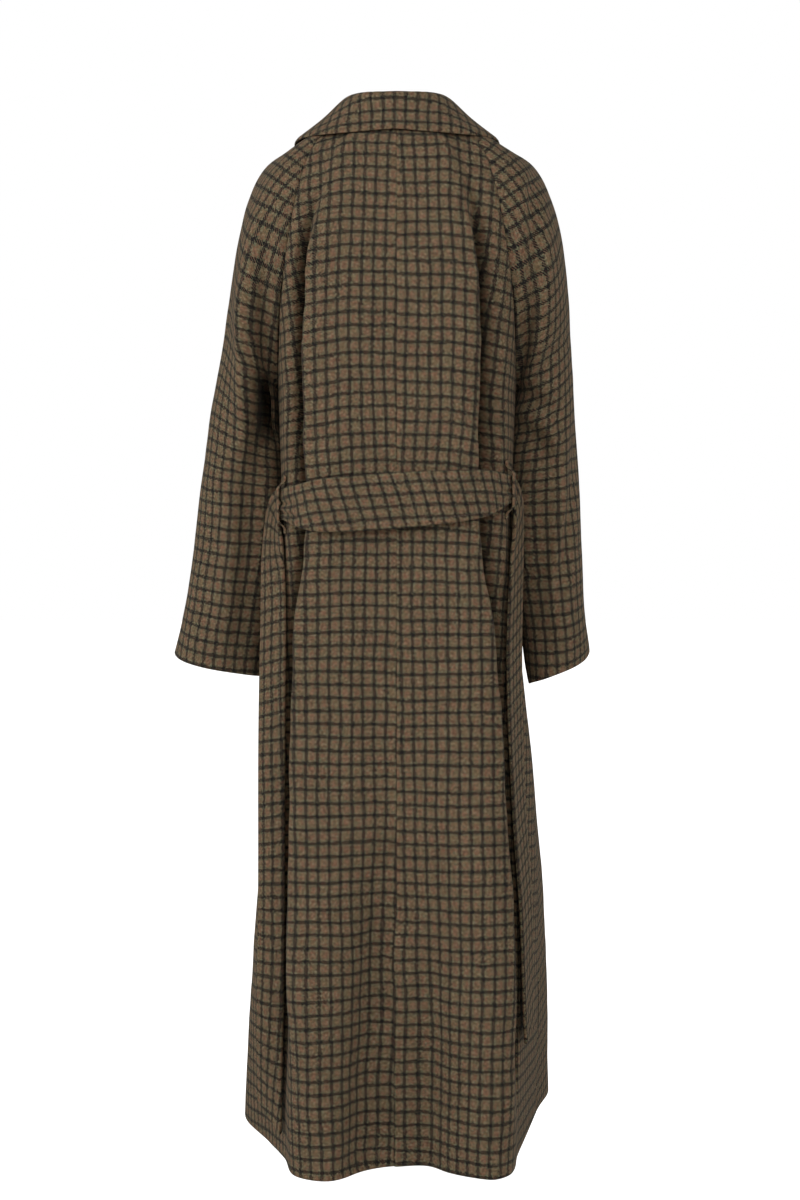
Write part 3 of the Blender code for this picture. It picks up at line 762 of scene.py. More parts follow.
# one direction's yarns: number, colour, crown, dark or not
def yarnSet(tree, inputs, axis, word, ground, ragged):
    threads = calc(tree, "DIVIDE", axis, inputs["Thread"])
    number = calc(tree, "FLOOR", threads)
    across = calc(tree, "SUBTRACT", threads, number)
    fromLine = calc(tree, "PINGPONG", number, calc(tree, "MULTIPLY", inputs[word + " Count"], 0.5))
    lineHalf = calc(tree, "MULTIPLY", inputs["Line Threads"], 0.5)
    edgeEnd = calc(tree, "ADD", lineHalf, inputs[word + " Edge Threads"])
    dark = calc(tree, "LESS_THAN", calc(tree, "ADD", fromLine, ragged), lineHalf)
    colour = mixColour(tree, calc(tree, "LESS_THAN", fromLine, edgeEnd), ground, inputs["Edge"])
    colour = mixColour(tree, dark, colour, inputs[word + " Line"])
    crown = calc(tree, "SUBTRACT", calc(tree, "MULTIPLY", across, 2.0), 1.0)
    crown = calc(tree, "SUBTRACT", 1.0, calc(tree, "MULTIPLY", crown, crown))
    return number, colour, crown, dark


def makeTwillGroup():
    # a small window check in 2/2 twill: dark lines edged with olive on a rust and brown ground
    tree = bpy.data.node_groups.new("checkedTwill", "ShaderNodeTree")
    face = tree.interface
    face.new_socket("Grain", in_out="INPUT", socket_type="NodeSocketVector")
    for name, value in twill["threads"].items():
        face.new_socket(name, in_out="INPUT", socket_type="NodeSocketFloat").default_value = value
    for name in twill["colours"]:
        face.new_socket(name, in_out="INPUT", socket_type="NodeSocketColor")
    for name, kind in (("Colour", "Color"), ("Height", "Float"), ("Roughness", "Float")):
        face.new_socket(name, in_out="OUTPUT", socket_type="NodeSocket" + kind)
    inputs = addNode(tree, "NodeGroupInput").outputs
    result = addNode(tree, "NodeGroupOutput")
    # threads wander a little
    spot = inputs["Grain"]
    for scale, detail, reach in twill["wander"]:
        drift = noiseIn(tree, inputs["Grain"], scale, detail)["Color"]
        centred = addNode(tree, "ShaderNodeVectorMath", {0: drift}, {1: (0.5, 0.5, 0.5)},
                          operation="SUBTRACT")
        shift = addNode(tree, "ShaderNodeVectorMath", {0: centred.outputs[0]}, {"Scale": reach},
                        operation="SCALE")
        moved = addNode(tree, "ShaderNodeVectorMath", {0: spot, 1: shift.outputs[0]}, operation="ADD")
        spot = moved.outputs[0]
    axes = addNode(tree, "ShaderNodeSeparateXYZ", {0: spot}).outputs
    # the lines are ragged, where fibres of the next yarns cross them
    nap = noiseIn(tree, inputs["Grain"], twill["napScale"], 2.0)["Fac"]
    ragged = swing(tree, nap, inputs["Ragged"])
    # some squares are more rust, others more khaki
    patches = noiseIn(tree, inputs["Grain"], twill["patchScale"], 1.0)["Fac"]
    inPatch = rampValue(tree, patches, *twill["patchRange"])
    ground = mixColour(tree, inPatch, inputs["Ground"], inputs["Patch"])
    warpNumber, warpColour, warpCrown, warpDark = yarnSet(tree, inputs, axes["X"], "Warp", ground, ragged)
    weftNumber, weftColour, weftCrown, weftDark = yarnSet(tree, inputs, axes["Y"], "Weft", ground, ragged)
    step = calc(tree, "DIVIDE", calc(tree, "SUBTRACT", warpNumber, weftNumber), twill["floats"])
    lean = calc(tree, "MULTIPLY", calc(tree, "SUBTRACT", warpDark, weftDark), inputs["Line Cover"])
    shown = calc(tree, "ADD", lean, twill["warpShare"])  # two threads of four, but the dark yarns cover three
    warpOnTop = calc(tree, "LESS_THAN", calc(tree, "SUBTRACT", step, calc(tree, "FLOOR", step)), shown)
    woven = mixColour(tree, warpOnTop, weftColour, warpColour)
    crown = between(tree, warpOnTop, weftCrown, warpCrown)
    # heathered yarn: fibres of mixed depth, long along the thread that shows
    fibres = []
    for scale in twill["fibreScales"]:
        stretch = addNode(tree, "ShaderNodeVectorMath", {0: spot}, {1: scale}, operation="MULTIPLY")
        fibres.append(noiseIn(tree, stretch.outputs[0], 1.0, 2.0)["Fac"])
    depth = swing(tree, between(tree, warpOnTop, fibres[1], fibres[0]), inputs["Heather"])
    cloudy = swing(tree, noiseIn(tree, inputs["Grain"], twill["cloudScale"], 3.0)["Fac"], twill["cloudTone"])
    nappy = swing(tree, nap, twill["napTone"])
    tone = calc(tree, "ADD", calc(tree, "ADD", depth, cloudy), calc(tree, "ADD", nappy, 1.0))
    # yarns darker at their sides than on their crowns: painted shade between the yarns
    tone = calc(tree, "MULTIPLY", tone, rampValue(tree, crown, *twill["crownShade"]))
    # open edges lightened a little: real wear and a painted edge highlight
    tone = calc(tree, "MULTIPLY", tone, rampValue(tree, inputs["Rub"], *twill["rubHighlightTone"]))
    # the odd rust, green or pale fibre, fewer on the dark lines
    fleck = rampValue(tree, noiseIn(tree, spot, twill["fleckScale"], 1.0)["Fac"], *twill["fleckRange"])
    darkShown = between(tree, warpOnTop, weftDark, warpDark)
    fleck = calc(tree, "MULTIPLY", fleck, rampValue(tree, darkShown, *twill["fleckOnLine"]))
    hue = addNode(tree, "ShaderNodeValToRGB", {"Fac": noiseIn(tree, spot, twill["hueScale"], 1.0)["Fac"]})
    setRamp(hue, twill["hues"])
    woven = mixColour(tree, fleck, woven, hue.outputs["Color"])
    grey = addNode(tree, "ShaderNodeCombineColor", {"Red": tone, "Green": tone, "Blue": tone})
    raised = calc(tree, "MULTIPLY", crown, twill["crownHeight"])
    outcomes = {
        "Colour": mixColour(tree, 1.0, woven, grey.outputs["Color"], blend="MULTIPLY"),
        "Height": calc(tree, "ADD", raised, calc(tree, "MULTIPLY", nap, twill["napHeight"])),
        "Roughness": rampValue(tree, calc(tree, "ADD", nap, inputs["Rub"]), *twill["roughRange"]),
    }
    for name, outcome in outcomes.items():
        tree.links.new(outcome, result.inputs[name])
    return tree


tweed = {
    "weave": {
        "Ground": (0.166, 0.089, 0.053, 1),
        "Patch": (0.132, 0.098, 0.050, 1),
        "Edge": (0.104, 0.098, 0.056, 1),
        "Warp Line": (0.0140, 0.0108, 0.0098, 1),
        "Weft Line": (0.0076, 0.0067, 0.0068, 1),
        "Heather": 0.8,
    },
    "bump": 0.5,
    "relief": 0.4 * mm,
    "specular": 0.18,
    "sheen": 0.05,
    "sheenRough": 0.45,
    "sheenTint": (0.62, 0.55, 0.44, 1),
}

twillGroup = makeTwillGroup()


def makeTweed(name, shift):  # a length of the tweed, with its check moved to where a piece was cut
    material, tree, shader = newMaterial(name)
    grain = addNode(tree, "ShaderNodeUVMap", uv_map="grain")
    rub = addNode(tree, "ShaderNodeAttribute", attribute_name="rub")
    offset = addNode(tree, "ShaderNodeMapping", {"Vector": grain.outputs["UV"]}, {"Location": (*shift, 0)})
    weave = addNode(tree, "ShaderNodeGroup", node_tree=twillGroup)
    tree.links.new(offset.outputs["Vector"], weave.inputs["Grain"])
    tree.links.new(rub.outputs["Fac"], weave.inputs["Rub"])
    for key, value in tweed["weave"].items():
        weave.inputs[key].default_value = value
    bump = addNode(tree, "ShaderNodeBump", {"Height": weave.outputs["Height"]},
                   {"Strength": tweed["bump"], "Distance": tweed["relief"]})
    tree.links.new(weave.outputs["Colour"], shader.inputs["Base Color"])
    tree.links.new(weave.outputs["Roughness"], shader.inputs["Roughness"])
    tree.links.new(bump.outputs["Normal"], shader.inputs["Normal"])
    shader.inputs["Specular IOR Level"].default_value = tweed["specular"]
    shader.inputs["Sheen Weight"].default_value = tweed["sheen"]
    shader.inputs["Sheen Roughness"].default_value = tweed["sheenRough"]
    shader.inputs["Sheen Tint"].default_value = tweed["sheenTint"]
    return material


print("materials ready")


# backs, fronts and sleeves

panels = {
    "upperRows": 72,
    "skirtRows": 200,
    "armRows": 88,
    "backColumns": 66,
    "frontColumns": 70,
    "sleeveColumns": 42,
    "foldPlace": 3.0,
    "flatGrid": (64, 17),
    "flatPasses": 1000,
    "flatPull": 0.11,
    "finePerPlace": 60,
    "finePerSleeve": 200,
    "coarseWave": 1.3 * mm,
    "fineWave": 0.35 * mm,
    "waveFrom": (0.0, 0.15),
}

upperLevels = np.linspace(0, 1, panels["upperRows"] + 1)
bodyLevels = np.concatenate([upperLevels, np.linspace(1, 2, panels["skirtRows"] + 1)[1:]])
armLevels = np.concatenate([upperLevels, np.linspace(1, 2, panels["armRows"] + 1)[1:]])

backPlaces = np.linspace(0, 5, 5 * panels["finePerPlace"] + 1)
frontPlaces = np.linspace(0, 6, 6 * panels["finePerPlace"] + 1)
sleevePlaces = np.linspace(0, 1, panels["finePerSleeve"] + 1)

cut = {}
for side, word in words.items():
    points, normals = backSection(side, bodyLevels, backPlaces)
    cut["back_" + word] = evenColumns(points, normals, backPlaces, panels["backColumns"], panels["foldPlace"])
    points, normals = frontSection(side, bodyLevels, frontPlaces)
    cut["front_" + word] = evenColumns(points, normals, frontPlaces, panels["frontColumns"])
    for face, half in ((1, "back"), (-1, "front")):
        points, normals = sleeveSection(side, face, armLevels, sleevePlaces)
        cut[f"sleeve_{word}_{half}"] = evenColumns(points, normals, sleevePlaces, panels["sleeveColumns"])

above, below = slice(0, panels["upperRows"]), slice(panels["upperRows"], None)
for word in words.values():
    back, frontPanel = cut["back_" + word], cut["front_" + word]
    sleeveBack, sleeveFront = cut[f"sleeve_{word}_back"], cut[f"sleeve_{word}_front"]
    shareSeam(back, -1, sleeveBack, 0, above)
    shareSeam(frontPanel, -1, sleeveFront, 0, above)
    shareSeam(back, -1, frontPanel, -1, below)
    shareSeam(sleeveBack, 0, sleeveFront, 0, below)
    shareSeam(sleeveBack, -1, sleeveFront, -1, slice(None))
shareSeam(cut["back_left"], 0, cut["back_right"], 0, slice(None))
print("panels cut")

# Soft creases are rows of x, z, half width and height in mm.
# A fold's rows are a level and how far it is pressed.
# A pair such as stripFrom is a start and the width over which it comes in.
backs = {
    "soft": [
        [(14, -860, 14, 0), (20, -930, 18, -5), (27, -1010, 22, -9), (33, -1124, 24, -12),
         (41, -1264, 26, -12)],
        [(-30, -960, 14, 0), (-41, -1060, 18, -7), (-38, -1168, 22, -11), (-34, -1290, 24, -10)],
        [(126, -900, 12, 0), (122, -985, 16, 5), (114, -1098, 18, 7), (106, -1188, 18, 6),
         (100, -1260, 18, 0)],
        [(92, -560, 14, 0), (84, -640, 18, -4), (80, -760, 22, -5), (82, -880, 22, 0)],
        [(-66, -520, 14, 0), (-72, -620, 18, -3.5), (-78, -760, 22, -5), (-84, -900, 22, 0)],
        [(40, -500, 14, 0), (38, -600, 20, -3), (30, -720, 22, -4), (24, -830, 20, 0)],
        [(70, -120, 14, 0), (76, -200, 18, -2.5), (80, -300, 18, -3), (78, -400, 16, 0)],
        [(-56, -150, 14, 0), (-60, -230, 16, -2), (-62, -330, 18, -2.5), (-66, -410, 16, 0)],
        [(30, -70, 18, 0), (20, -110, 22, -1.5), (-4, -128, 22, -2), (-34, -110, 22, 0)],
        [(104, -500, 6, 0), (112, -526, 8, -3), (121, -560, 9, -2), (124, -590, 8, 0)],
        [(98, -520, 6, 0), (106, -545, 7, 2.2), (116, -585, 8, 1.5), (120, -610, 8, 0)],
        [(-88, -495, 6, 0), (-96, -520, 8, -2.5), (-104, -560, 9, -1.5), (-108, -600, 8, 0)],
    ],
    "leftFold": [(0.36, 0), (0.48, 0.25), (0.62, 0.8), (0.85, 1), (1.09, 1), (1.13, 0.6), (1.17, 0.6),
                 (1.2, 1), (1.35, 1), (1.6, 0.9), (1.8, 0.5), (1.95, 0), (2.0, 0)],
    "rightFold": [(0.32, 0), (0.45, 0.3), (0.6, 0.8), (0.85, 1), (1.08, 1), (1.12, 0.6), (1.16, 0.6),
                  (1.2, 1), (1.4, 1), (1.7, 0.9), (1.86, 0.5), (1.97, 0), (2.0, 0)],
    "seamCalm": 16 * mm,
    "centreGroove": 0.6,
    "beltZ": -453 * mm,
    "beltHalf": 55 * mm,
    "tailPlace": (2.3, 0.5),
    "tailLevel": (1.0, 0.08),
    "foldDepth": 26 * mm,
    "foldWidth": 5.5 * mm,
    "lipRoll": 2.2 * mm,
    "lipWave": 2.6 * mm,
    "lipScale": 19.0,
    "lipFrom": (1.5, 0.5),
    "undercut": 3.0 * mm,
    "stripRise": 20 * mm,
    "stripReach": 15 * mm,
    "stripFrom": (0.5, 0.25),
    "stripTo": (0.95, 0.1),
    "droop": 0.16,
    "droopFrom": 62 * mm,
    "droopTo": (0.95, 0.5),
    "ventStep": 2.7 * mm,
    "ventOpen": 0.05,
    "ventLap": 3.0 * mm,
    "ventFade": 42 * mm,
    "flat": (0.41, 1.33),
    "area": 0.395,
}

fronts = {
    "soft": [
        [(60, -300, 16, 0), (66, -420, 22, -4), (70, -560, 24, -5), (74, -720, 24, 0)],
        [(-64, -330, 16, 0), (-70, -440, 20, -4), (-72, -600, 24, -5), (-80, -760, 24, 0)],
        [(52, -760, 18, 0), (60, -900, 24, -6), (66, -1060, 28, -8), (70, -1290, 30, -9)],
        [(-58, -800, 18, 0), (-62, -930, 24, -6), (-72, -1080, 28, -8), (-78, -1290, 30, -8)],
        [(104, -640, 14, 0), (112, -800, 20, 4), (120, -1000, 22, 6), (126, -1290, 24, 6)],
        [(-106, -620, 14, 0), (-116, -780, 20, 4), (-124, -980, 22, 6), (-132, -1290, 24, 7)],
        [(90, -210, 10, 0), (104, -260, 12, -4), (122, -296, 12, -4), (136, -318, 10, 0)],
        [(-88, -220, 10, 0), (-104, -264, 12, -4), (-122, -298, 12, -3), (-136, -320, 10, 0)],
        [(84, -440, 8, 0), (104, -462, 10, -3), (126, -474, 10, -3), (144, -478, 8, 0)],
        [(-86, -446, 8, 0), (-106, -466, 10, -3), (-128, -476, 10, -2), (-144, -480, 8, 0)],
    ],
    "seamCalm": 16 * mm,
    "creaseFrom": (0.1, 0.3),
    "flat": (0.38, 1.32),
    "area": 0.376,
}

sleeves = {
    "leftBack": [
        [(172, -90, 12, 0), (176, -130, 13, 3), (183, -174, 14, 6), (190, -225, 15, 8), (192, -294, 16, 8),
         (193, -358, 16, 6), (196, -430, 16, 0)],
        [(152, -90, 9, 0), (159, -131, 11, -4), (164, -206, 12, -7), (161, -269, 12, -8),
         (152, -314, 10, -4), (148, -335, 8, 0)],
        [(214, -190, 14, 0), (212, -250, 16, -3), (214, -330, 18, -4), (218, -410, 18, 0)],
        [(186, -400, 12, 0), (182, -460, 14, -1.5), (186, -540, 16, -2), (192, -620, 16, -1),
         (194, -690, 14, 0)],
        [(232, -430, 14, 0), (236, -500, 18, -3), (240, -580, 18, -3), (246, -650, 16, 0)],
        [(206, -440, 12, 0), (210, -520, 16, 3), (216, -600, 16, 3), (222, -660, 14, 0)],
        [(184, -180, 5, 0), (190, -225, 6, 2.5), (192, -294, 6, 3), (193, -358, 6, 2.5), (195, -420, 5, 0)],
        [(158, -366, 12, 0), (160, -400, 15, 11), (163, -470, 19, 16), (168, -560, 20, 15),
         (176, -640, 18, 10), (182, -690, 14, 4)],
    ],
    "rightBack": [
        [(-168, -40, 9, 0), (-169, -71, 10, -5), (-169, -150, 11, -9), (-166, -195, 11, -10),
         (-160, -239, 11, -11), (-152, -284, 10, -10), (-146, -318, 9, -5), (-143, -340, 8, 0)],
        [(-180, -120, 10, 0), (-182, -180, 12, 3), (-178, -240, 12, 4), (-168, -300, 11, 3),
         (-160, -335, 9, 0)],
        [(-150, -312, 8, 0), (-168, -326, 9, -6), (-190, -344, 10, -6), (-214, -372, 10, 0)],
        [(-152, -340, 8, 0), (-170, -352, 9, 5), (-192, -372, 10, 5), (-212, -400, 10, 0)],
        [(-150, -356, 8, 0), (-166, -374, 9, -4), (-186, -396, 10, -4.5), (-206, -430, 10, 0)],
        [(-230, -340, 8, 0), (-228, -384, 9, -4), (-225, -432, 9, -6), (-216, -500, 9, -6),
         (-208, -560, 9, -4), (-204, -600, 8, 0)],
        [(-214, -420, 10, 0), (-208, -480, 12, 3), (-198, -560, 12, 3), (-194, -620, 12, 0)],
        [(-156, -548, 6, 0), (-166, -552, 7, -4), (-182, -553, 7, -4), (-196, -550, 6, 0)],
        [(-154, -330, 12, 0), (-157, -370, 15, 10), (-160, -440, 19, 16), (-164, -530, 18, 14),
         (-170, -610, 16, 9), (-176, -690, 14, 3)],
        [(-184, -420, 12, 0), (-182, -500, 14, -1), (-182, -590, 16, -1.5), (-190, -680, 14, 0)],
    ],
    "leftFront": [
        [(160, -90, 10, 0), (166, -160, 12, -5), (164, -230, 12, -7), (156, -300, 10, -4),
         (152, -330, 8, 0)],
        [(190, -150, 12, 0), (196, -240, 16, 4), (200, -340, 16, 4), (206, -430, 14, 0)],
        [(170, -400, 8, 0), (190, -416, 10, -5), (214, -424, 10, -4), (234, -420, 8, 0)],
        [(176, -470, 8, 0), (196, -480, 10, -4), (222, -482, 10, -4), (244, -470, 8, 0)],
        [(204, -500, 12, 0), (212, -570, 16, -4), (222, -650, 16, -4), (226, -700, 14, 0)],
    ],
    "rightFront": [
        [(-160, -84, 10, 0), (-166, -150, 12, -5), (-165, -226, 12, -7), (-156, -296, 10, -4),
         (-152, -328, 8, 0)],
        [(-192, -140, 12, 0), (-198, -230, 16, 4), (-200, -330, 16, 4), (-204, -420, 14, 0)],
        [(-168, -392, 8, 0), (-188, -410, 10, -5), (-210, -420, 10, -5), (-226, -416, 8, 0)],
        [(-172, -466, 8, 0), (-192, -478, 10, -4), (-214, -480, 10, -3), (-232, -468, 8, 0)],
        [(-196, -510, 12, 0), (-202, -580, 16, -4), (-210, -660, 16, -4), (-214, -710, 14, 0)],
    ],
    "underarmCalm": 14 * mm,
    "overarmCalm": 22 * mm,
    "slope": 0.36,
    "slopeFrom": 50 * mm,
    "slopeStart": (0.45, 0.35),
    "slopeEnd": (1.08, 0.35),
    "hollowEdge": 178 * mm,
    "hollowWall": 8 * mm,
    "hollowBody": 156 * mm,
    "hollowSeam": 25 * mm,
    "hollowDepth": 100 * mm,
    "hollowZ": -342 * mm,
    "hollowHeight": 36 * mm,
    "flat": (0.22, 0.78),
    "area": 0.125,
}


def settleBack(side, panel, levels):
    points, normals = panel["points"], panel["normals"]
    x, z = points[:, :, 0], points[:, :, 2]
    lift = creaseField(backs["soft"], x, z) * ease(panel["toEnd"] / backs["seamCalm"])
    wave = unevenness(points, panels["coarseWave"], panels["fineWave"])
    lift += wave * rising(levels, *panels["waveFrom"])[:, None]
    # nothing comes out under the belt, the loops and the tails
    underBelt = np.exp(-(((z - backs["beltZ"]) / backs["beltHalf"]) ** 4))
    underTail = rising(panel["place"], *backs["tailPlace"]) * rising(levels, *backs["tailLevel"])[:, None]
    guard = np.maximum(underBelt, underTail)
    lift = lift * (1 - guard) + np.minimum(lift, 0) * guard
    lift += backs["centreGroove"] * seamGroove(panel["run"]) + seamGroove(panel["toEnd"])
    points = points + normals * lift[:, :, None]
    points = foldedUnder(side, panel, levels, points)
    if side == rightSide:  # below the vent's top the right back laps over the left one
        vent = rising(levels, body["ventTop"], backs["ventOpen"])[:, None]
        vent = vent * ease(1 - panel["run"] / backs["ventFade"])
        points = points + normals * (vent * backs["ventStep"])[:, :, None]
        points[:, :, 0] += vent * backs["ventLap"]
    return points


def foldedUnder(side, panel, levels, points):  # the lobe rolls over its fold, whose wall hides behind it
    rows = np.array(backs[words[side] + "Fold"])
    share = smoothColumn(rows[:, 0], rows[:, 1], np.clip(levels, rows[0, 0], 2))[:, None]
    place, run = panel["place"], panel["run"]
    lipX = np.array([[np.interp(panels["foldPlace"] - 1, *row)] for row in zip(place, points[:, :, 0])])
    foldX, foldRun = (np.array([[np.interp(panels["foldPlace"], *row)] for row in zip(place, values)])
                      for values in (points[:, :, 0], run))
    wall = np.clip(place - panels["foldPlace"] + 1, 0, 1)
    heights = (points[:, 0, 2] * backs["lipScale"]).tolist()
    wavy = [noise.noise(Vector((0.4 * side, 0.2, height))) for height in heights]
    roll = backs["lipRoll"] + backs["lipWave"] * np.array(wavy)[:, None]
    hidden = lipX + side * (roll * (1 - wall) - backs["undercut"] * np.sin(math.pi * wall))
    past = np.maximum(run - foldRun, 0)
    nearFold = np.exp(-past / backs["foldWidth"])
    onLobe = side * roll * rising(place, *backs["lipFrom"])
    shift = np.where(place < panels["foldPlace"] - 1, onLobe, hidden - points[:, :, 0])
    shift = np.where(place > panels["foldPlace"], (lipX - foldX) * nearFold, shift)
    points = points.copy()
    points[:, :, 0] += share * shift
    points[:, :, 1] -= share * backs["foldDepth"] * np.exp(-np.abs(run - foldRun) / backs["foldWidth"])
    aboveBelt = (rising(levels, *backs["stripFrom"]) * (1 - rising(levels, *backs["stripTo"])))[:, None]
    points[:, :, 1] += backs["stripRise"] * aboveBelt * np.exp(-past / backs["stripReach"]) * (1 - nearFold)
    return points


def settleFront(panel, levels):
    points, normals = panel["points"], panel["normals"]
    x, z = points[:, :, 0], points[:, :, 2]
    lift = creaseField(fronts["soft"], x, z) * ease(panel["toEnd"] / fronts["seamCalm"])
    lift += unevenness(points, panels["coarseWave"], panels["fineWave"])
    lift = lift * rising(levels, *fronts["creaseFrom"])[:, None] + seamGroove(panel["toEnd"])
    return points + normals * lift[:, :, None]


def settleSleeve(name, panel, levels):
    points, normals = panel["points"], panel["normals"]
    x, z = points[:, :, 0], points[:, :, 2]
    lift = creaseField(sleeves[name], x, z)
    lift *= ease(panel["run"] / sleeves["underarmCalm"]) * ease(panel["toEnd"] / sleeves["overarmCalm"])
    wave = unevenness(points, panels["coarseWave"], panels["fineWave"])
    lift += wave * rising(levels, *panels["waveFrom"])[:, None]
    lift += seamGroove(panel["run"]) + seamGroove(panel["toEnd"])
    points = points + normals * lift[:, :, None]
    if name == "leftBack":  # a hollow stays open below the left armpit
        beside = ease((sleeves["hollowEdge"] - x) / sleeves["hollowWall"])
        beside *= ease((x - sleeves["hollowBody"]) / (0.5 * sleeves["hollowWall"]))
        beside *= ease(panel["run"] / sleeves["hollowSeam"])
        height = np.exp(-(((z - sleeves["hollowZ"]) / sleeves["hollowHeight"]) ** 4))
        points[:, :, 1] -= sleeves["hollowDepth"] * beside * height
    return points


# where the lines of the check fall on each panel, in metres of cloth
checkShift = {
    "back_left": (0.0010, 0.0036),
    "back_right": (0.0044, 0.0012),
    "front_left": (0.004, 0.003),
    "front_right": (0.002, 0.003),
    "sleeve_left_back": (0.003, 0.006),
    "sleeve_left_front": (0.003, 0.006),
    "sleeve_right_back": (0.005, 0.002),
    "sleeve_right_front": (0.005, 0.002),
}

settled = {}
for side, word in words.items():
    settled["back_" + word] = settleBack(side, cut["back_" + word], bodyLevels)
    settled["front_" + word] = settleFront(cut["front_" + word], bodyLevels)
    for half in ("back", "front"):
        name = f"sleeve_{word}_{half}"
        settled[name] = settleSleeve(word + half.capitalize(), cut[name], armLevels)

for name, points in settled.items():
    isSleeve = name.startswith("sleeve")
    isFront = name.startswith("front")
    referenceRow = panels["upperRows"]
    plain = cut[name]["points"]
    grain = laidFlat(plain, sleeveGrain(plain) if isSleeve else grainMap(plain, 0, referenceRow))
    if not isSleeve:
        grain -= grain[referenceRow, 0]
        edge = grain[-1, 0] - grain[referenceRow, 0]
        grain = turned(grain, -math.atan2(edge[0], edge[1]))
    if name.startswith("back"):  # the rows droop towards the sides of the upper back
        beside = np.maximum(np.abs(grain[:, :, 0]) - backs["droopFrom"], 0)
        grain[:, :, 1] -= backs["droop"] * beside * (1 - rising(bodyLevels, *backs["droopTo"]))[:, None]
    if isSleeve:  # the rows rise outwards from the armpit
        beside = np.maximum(np.abs(grain[:, :, 0]) - sleeves["slopeFrom"], 0)
        nearPit = rising(armLevels, *sleeves["slopeStart"]) * (1 - rising(armLevels, *sleeves["slopeEnd"]))
        grain[:, :, 1] -= sleeves["slope"] * beside * nearPit[:, None]
    if name in ("back_left", "front_right", "sleeve_left_back", "sleeve_right_front"):
        grain[:, :, 0] *= -1  # seen from outside, across runs to the viewer's right on every panel
    report(name, grain, points)
    shape = sleeves if isSleeve else fronts if isFront else backs
    free = ["bottom", "start"] if isFront or name == "back_right" else ["bottom"]
    material = makeTweed("tweed_" + name, checkShift[name])
    normals = cut[name]["normals"]
    piece = clothMesh("cloth_" + name, drawnIn(points), normals, body["cloth"], grain, free, material)
    place(piece, name, "tweed", shape["flat"], shape["area"])
print("panels settled")


# vent underlay

ventUnderlay = {
    "lap": 34 * mm,
    "tuck": 9 * mm,
    "under": 0.9 * mm,
    "rows": 60,
    "columns": 10,
    "checkShift": (0.002, 0.004),
    "flat": (0.051, 0.33),
}


def makeVentUnderlay():
    levels = np.linspace(body["ventTop"], 2, ventUnderlay["rows"] + 1)
    reach = np.linspace(0, 1, ventUnderlay["columns"] + 1)
    halves = []
    for side, width in ((rightSide, ventUnderlay["lap"]), (leftSide, ventUnderlay["tuck"])):
        halves.append(backSection(side, levels, reach * width / backTable[side]["lobeX"][-1]))
    points = np.concatenate([halves[0][0][:, ::-1], halves[1][0][:, 1:]], axis=1)
    normals = np.concatenate([halves[0][1][:, ::-1], halves[1][1][:, 1:]], axis=1)
    dips = creaseField(backs["soft"], points[:, :, 0], points[:, :, 2])
    wave = unevenness(points, panels["coarseWave"], panels["fineWave"])
    inside = body["cloth"] + body["seamGap"] + ventUnderlay["under"]
    points = points + normals * (dips + wave - inside)[:, :, None]
    grain = grainMap(points, 0, 0)
    report("vent_underlay", grain, points)
    material = makeTweed("tweed_vent_underlay", ventUnderlay["checkShift"])
    free = ["bottom", "start", "end"]
    piece = clothMesh("cloth_vent_underlay", points, normals, body["cloth"], grain, free, material)
    place(piece, "vent_underlay", "tweed", ventUnderlay["flat"], None)


makeVentUnderlay()


# collar

collarPiece = {
    "cloth": 2.6 * mm,
    "rows": 92,
    "columns": 54,
    "rollDrop": 6 * mm,
    "rollSpread": 2.5 * mm,
    "belly": -0.5 * mm,
    "neckGap": 0.7 * mm,
    "frontNeckGap": 1.2 * mm,
    "frontNeck": (0.5, 0.2),
    "rollPlace": 3.0,
    "fallFrom": (4.2, 1.2),
    "edgeFrom": (5.0, 1.0),
    "coarseWave": 1.6 * mm,
    "fineWave": 0.4 * mm,
    "deepest": -0.2 * mm,
    "standWave": 0.25,
    "edgeWave": 0.8 * mm,
    "ripples": ((17.0, 0.6), (7.3, 1.1)),
    "shoulderAt": 0.5,
    "shoulderHalf": 0.2,
    "shoulderFlat": 0.6,
    "shoulderStill": 0.85,
    "pressDepth": 0.9 * mm,
    "pressWidth": 2.5 * mm,
    "checkShift": (0.004, 0.006),
    "flat": (0.61, 0.24),
    "area": 0.07,
}

collarPlaces = np.linspace(0, 6, 241)


def neckline(side, word):
    fromCentre = frontPlaces[panels["finePerPlace"]:]
    frontEdge = frontSection(side, bodyLevels[:3], fromCentre)[0][0]
    parts = [
        cut["back_" + word]["points"][0],
        cut[f"sleeve_{word}_back"]["points"][0][1:],
        cut[f"sleeve_{word}_front"]["points"][0][::-1][1:],
        frontEdge[::-1][1:],
    ]
    return np.concatenate(parts)


def collarHalf(neckEdge, side):
    flip = np.array([side, 1, 1])
    run = runAlong(neckEdge[None])[0]
    shares = np.linspace(0, 1, collarPiece["rows"] + 1)
    neck = np.stack([np.interp(shares * run[-1], run, neckEdge[:, i]) for i in range(3)], axis=1)
    start, width = collarPiece["frontNeck"]
    inFront = np.clip((shares - start) / width, 0, 1)
    neck[:, 2] += collarPiece["neckGap"] + collarPiece["frontNeckGap"] * inFront
    roll = railPoints(collar, ("rollX", "rollY", "rollZ"), shares) * flip
    edge = railPoints(collar, ("edgeX", "edgeY", "edgeZ"), shares) * flip
    up = np.array([0, 0, 1])
    out = unit((edge - roll) * np.array([1, 1, 0]))
    fall, stand = unit(edge - roll), unit(neck - roll)
    inside = roll + stand * collarPiece["rollDrop"] - out * collarPiece["rollSpread"]
    outside = roll + fall * collarPiece["rollDrop"] + out * collarPiece["rollSpread"]
    belly = (roll + edge) / 2 + (out + up) * collarPiece["belly"]
    controls = np.stack([neck, (neck + inside) / 2, inside, roll, outside, belly, edge], axis=1)
    points, slopes = through(controls, 2 * neck - controls[:, 1], 2 * edge - belly, collarPlaces)
    return points, slopes, roll, edge


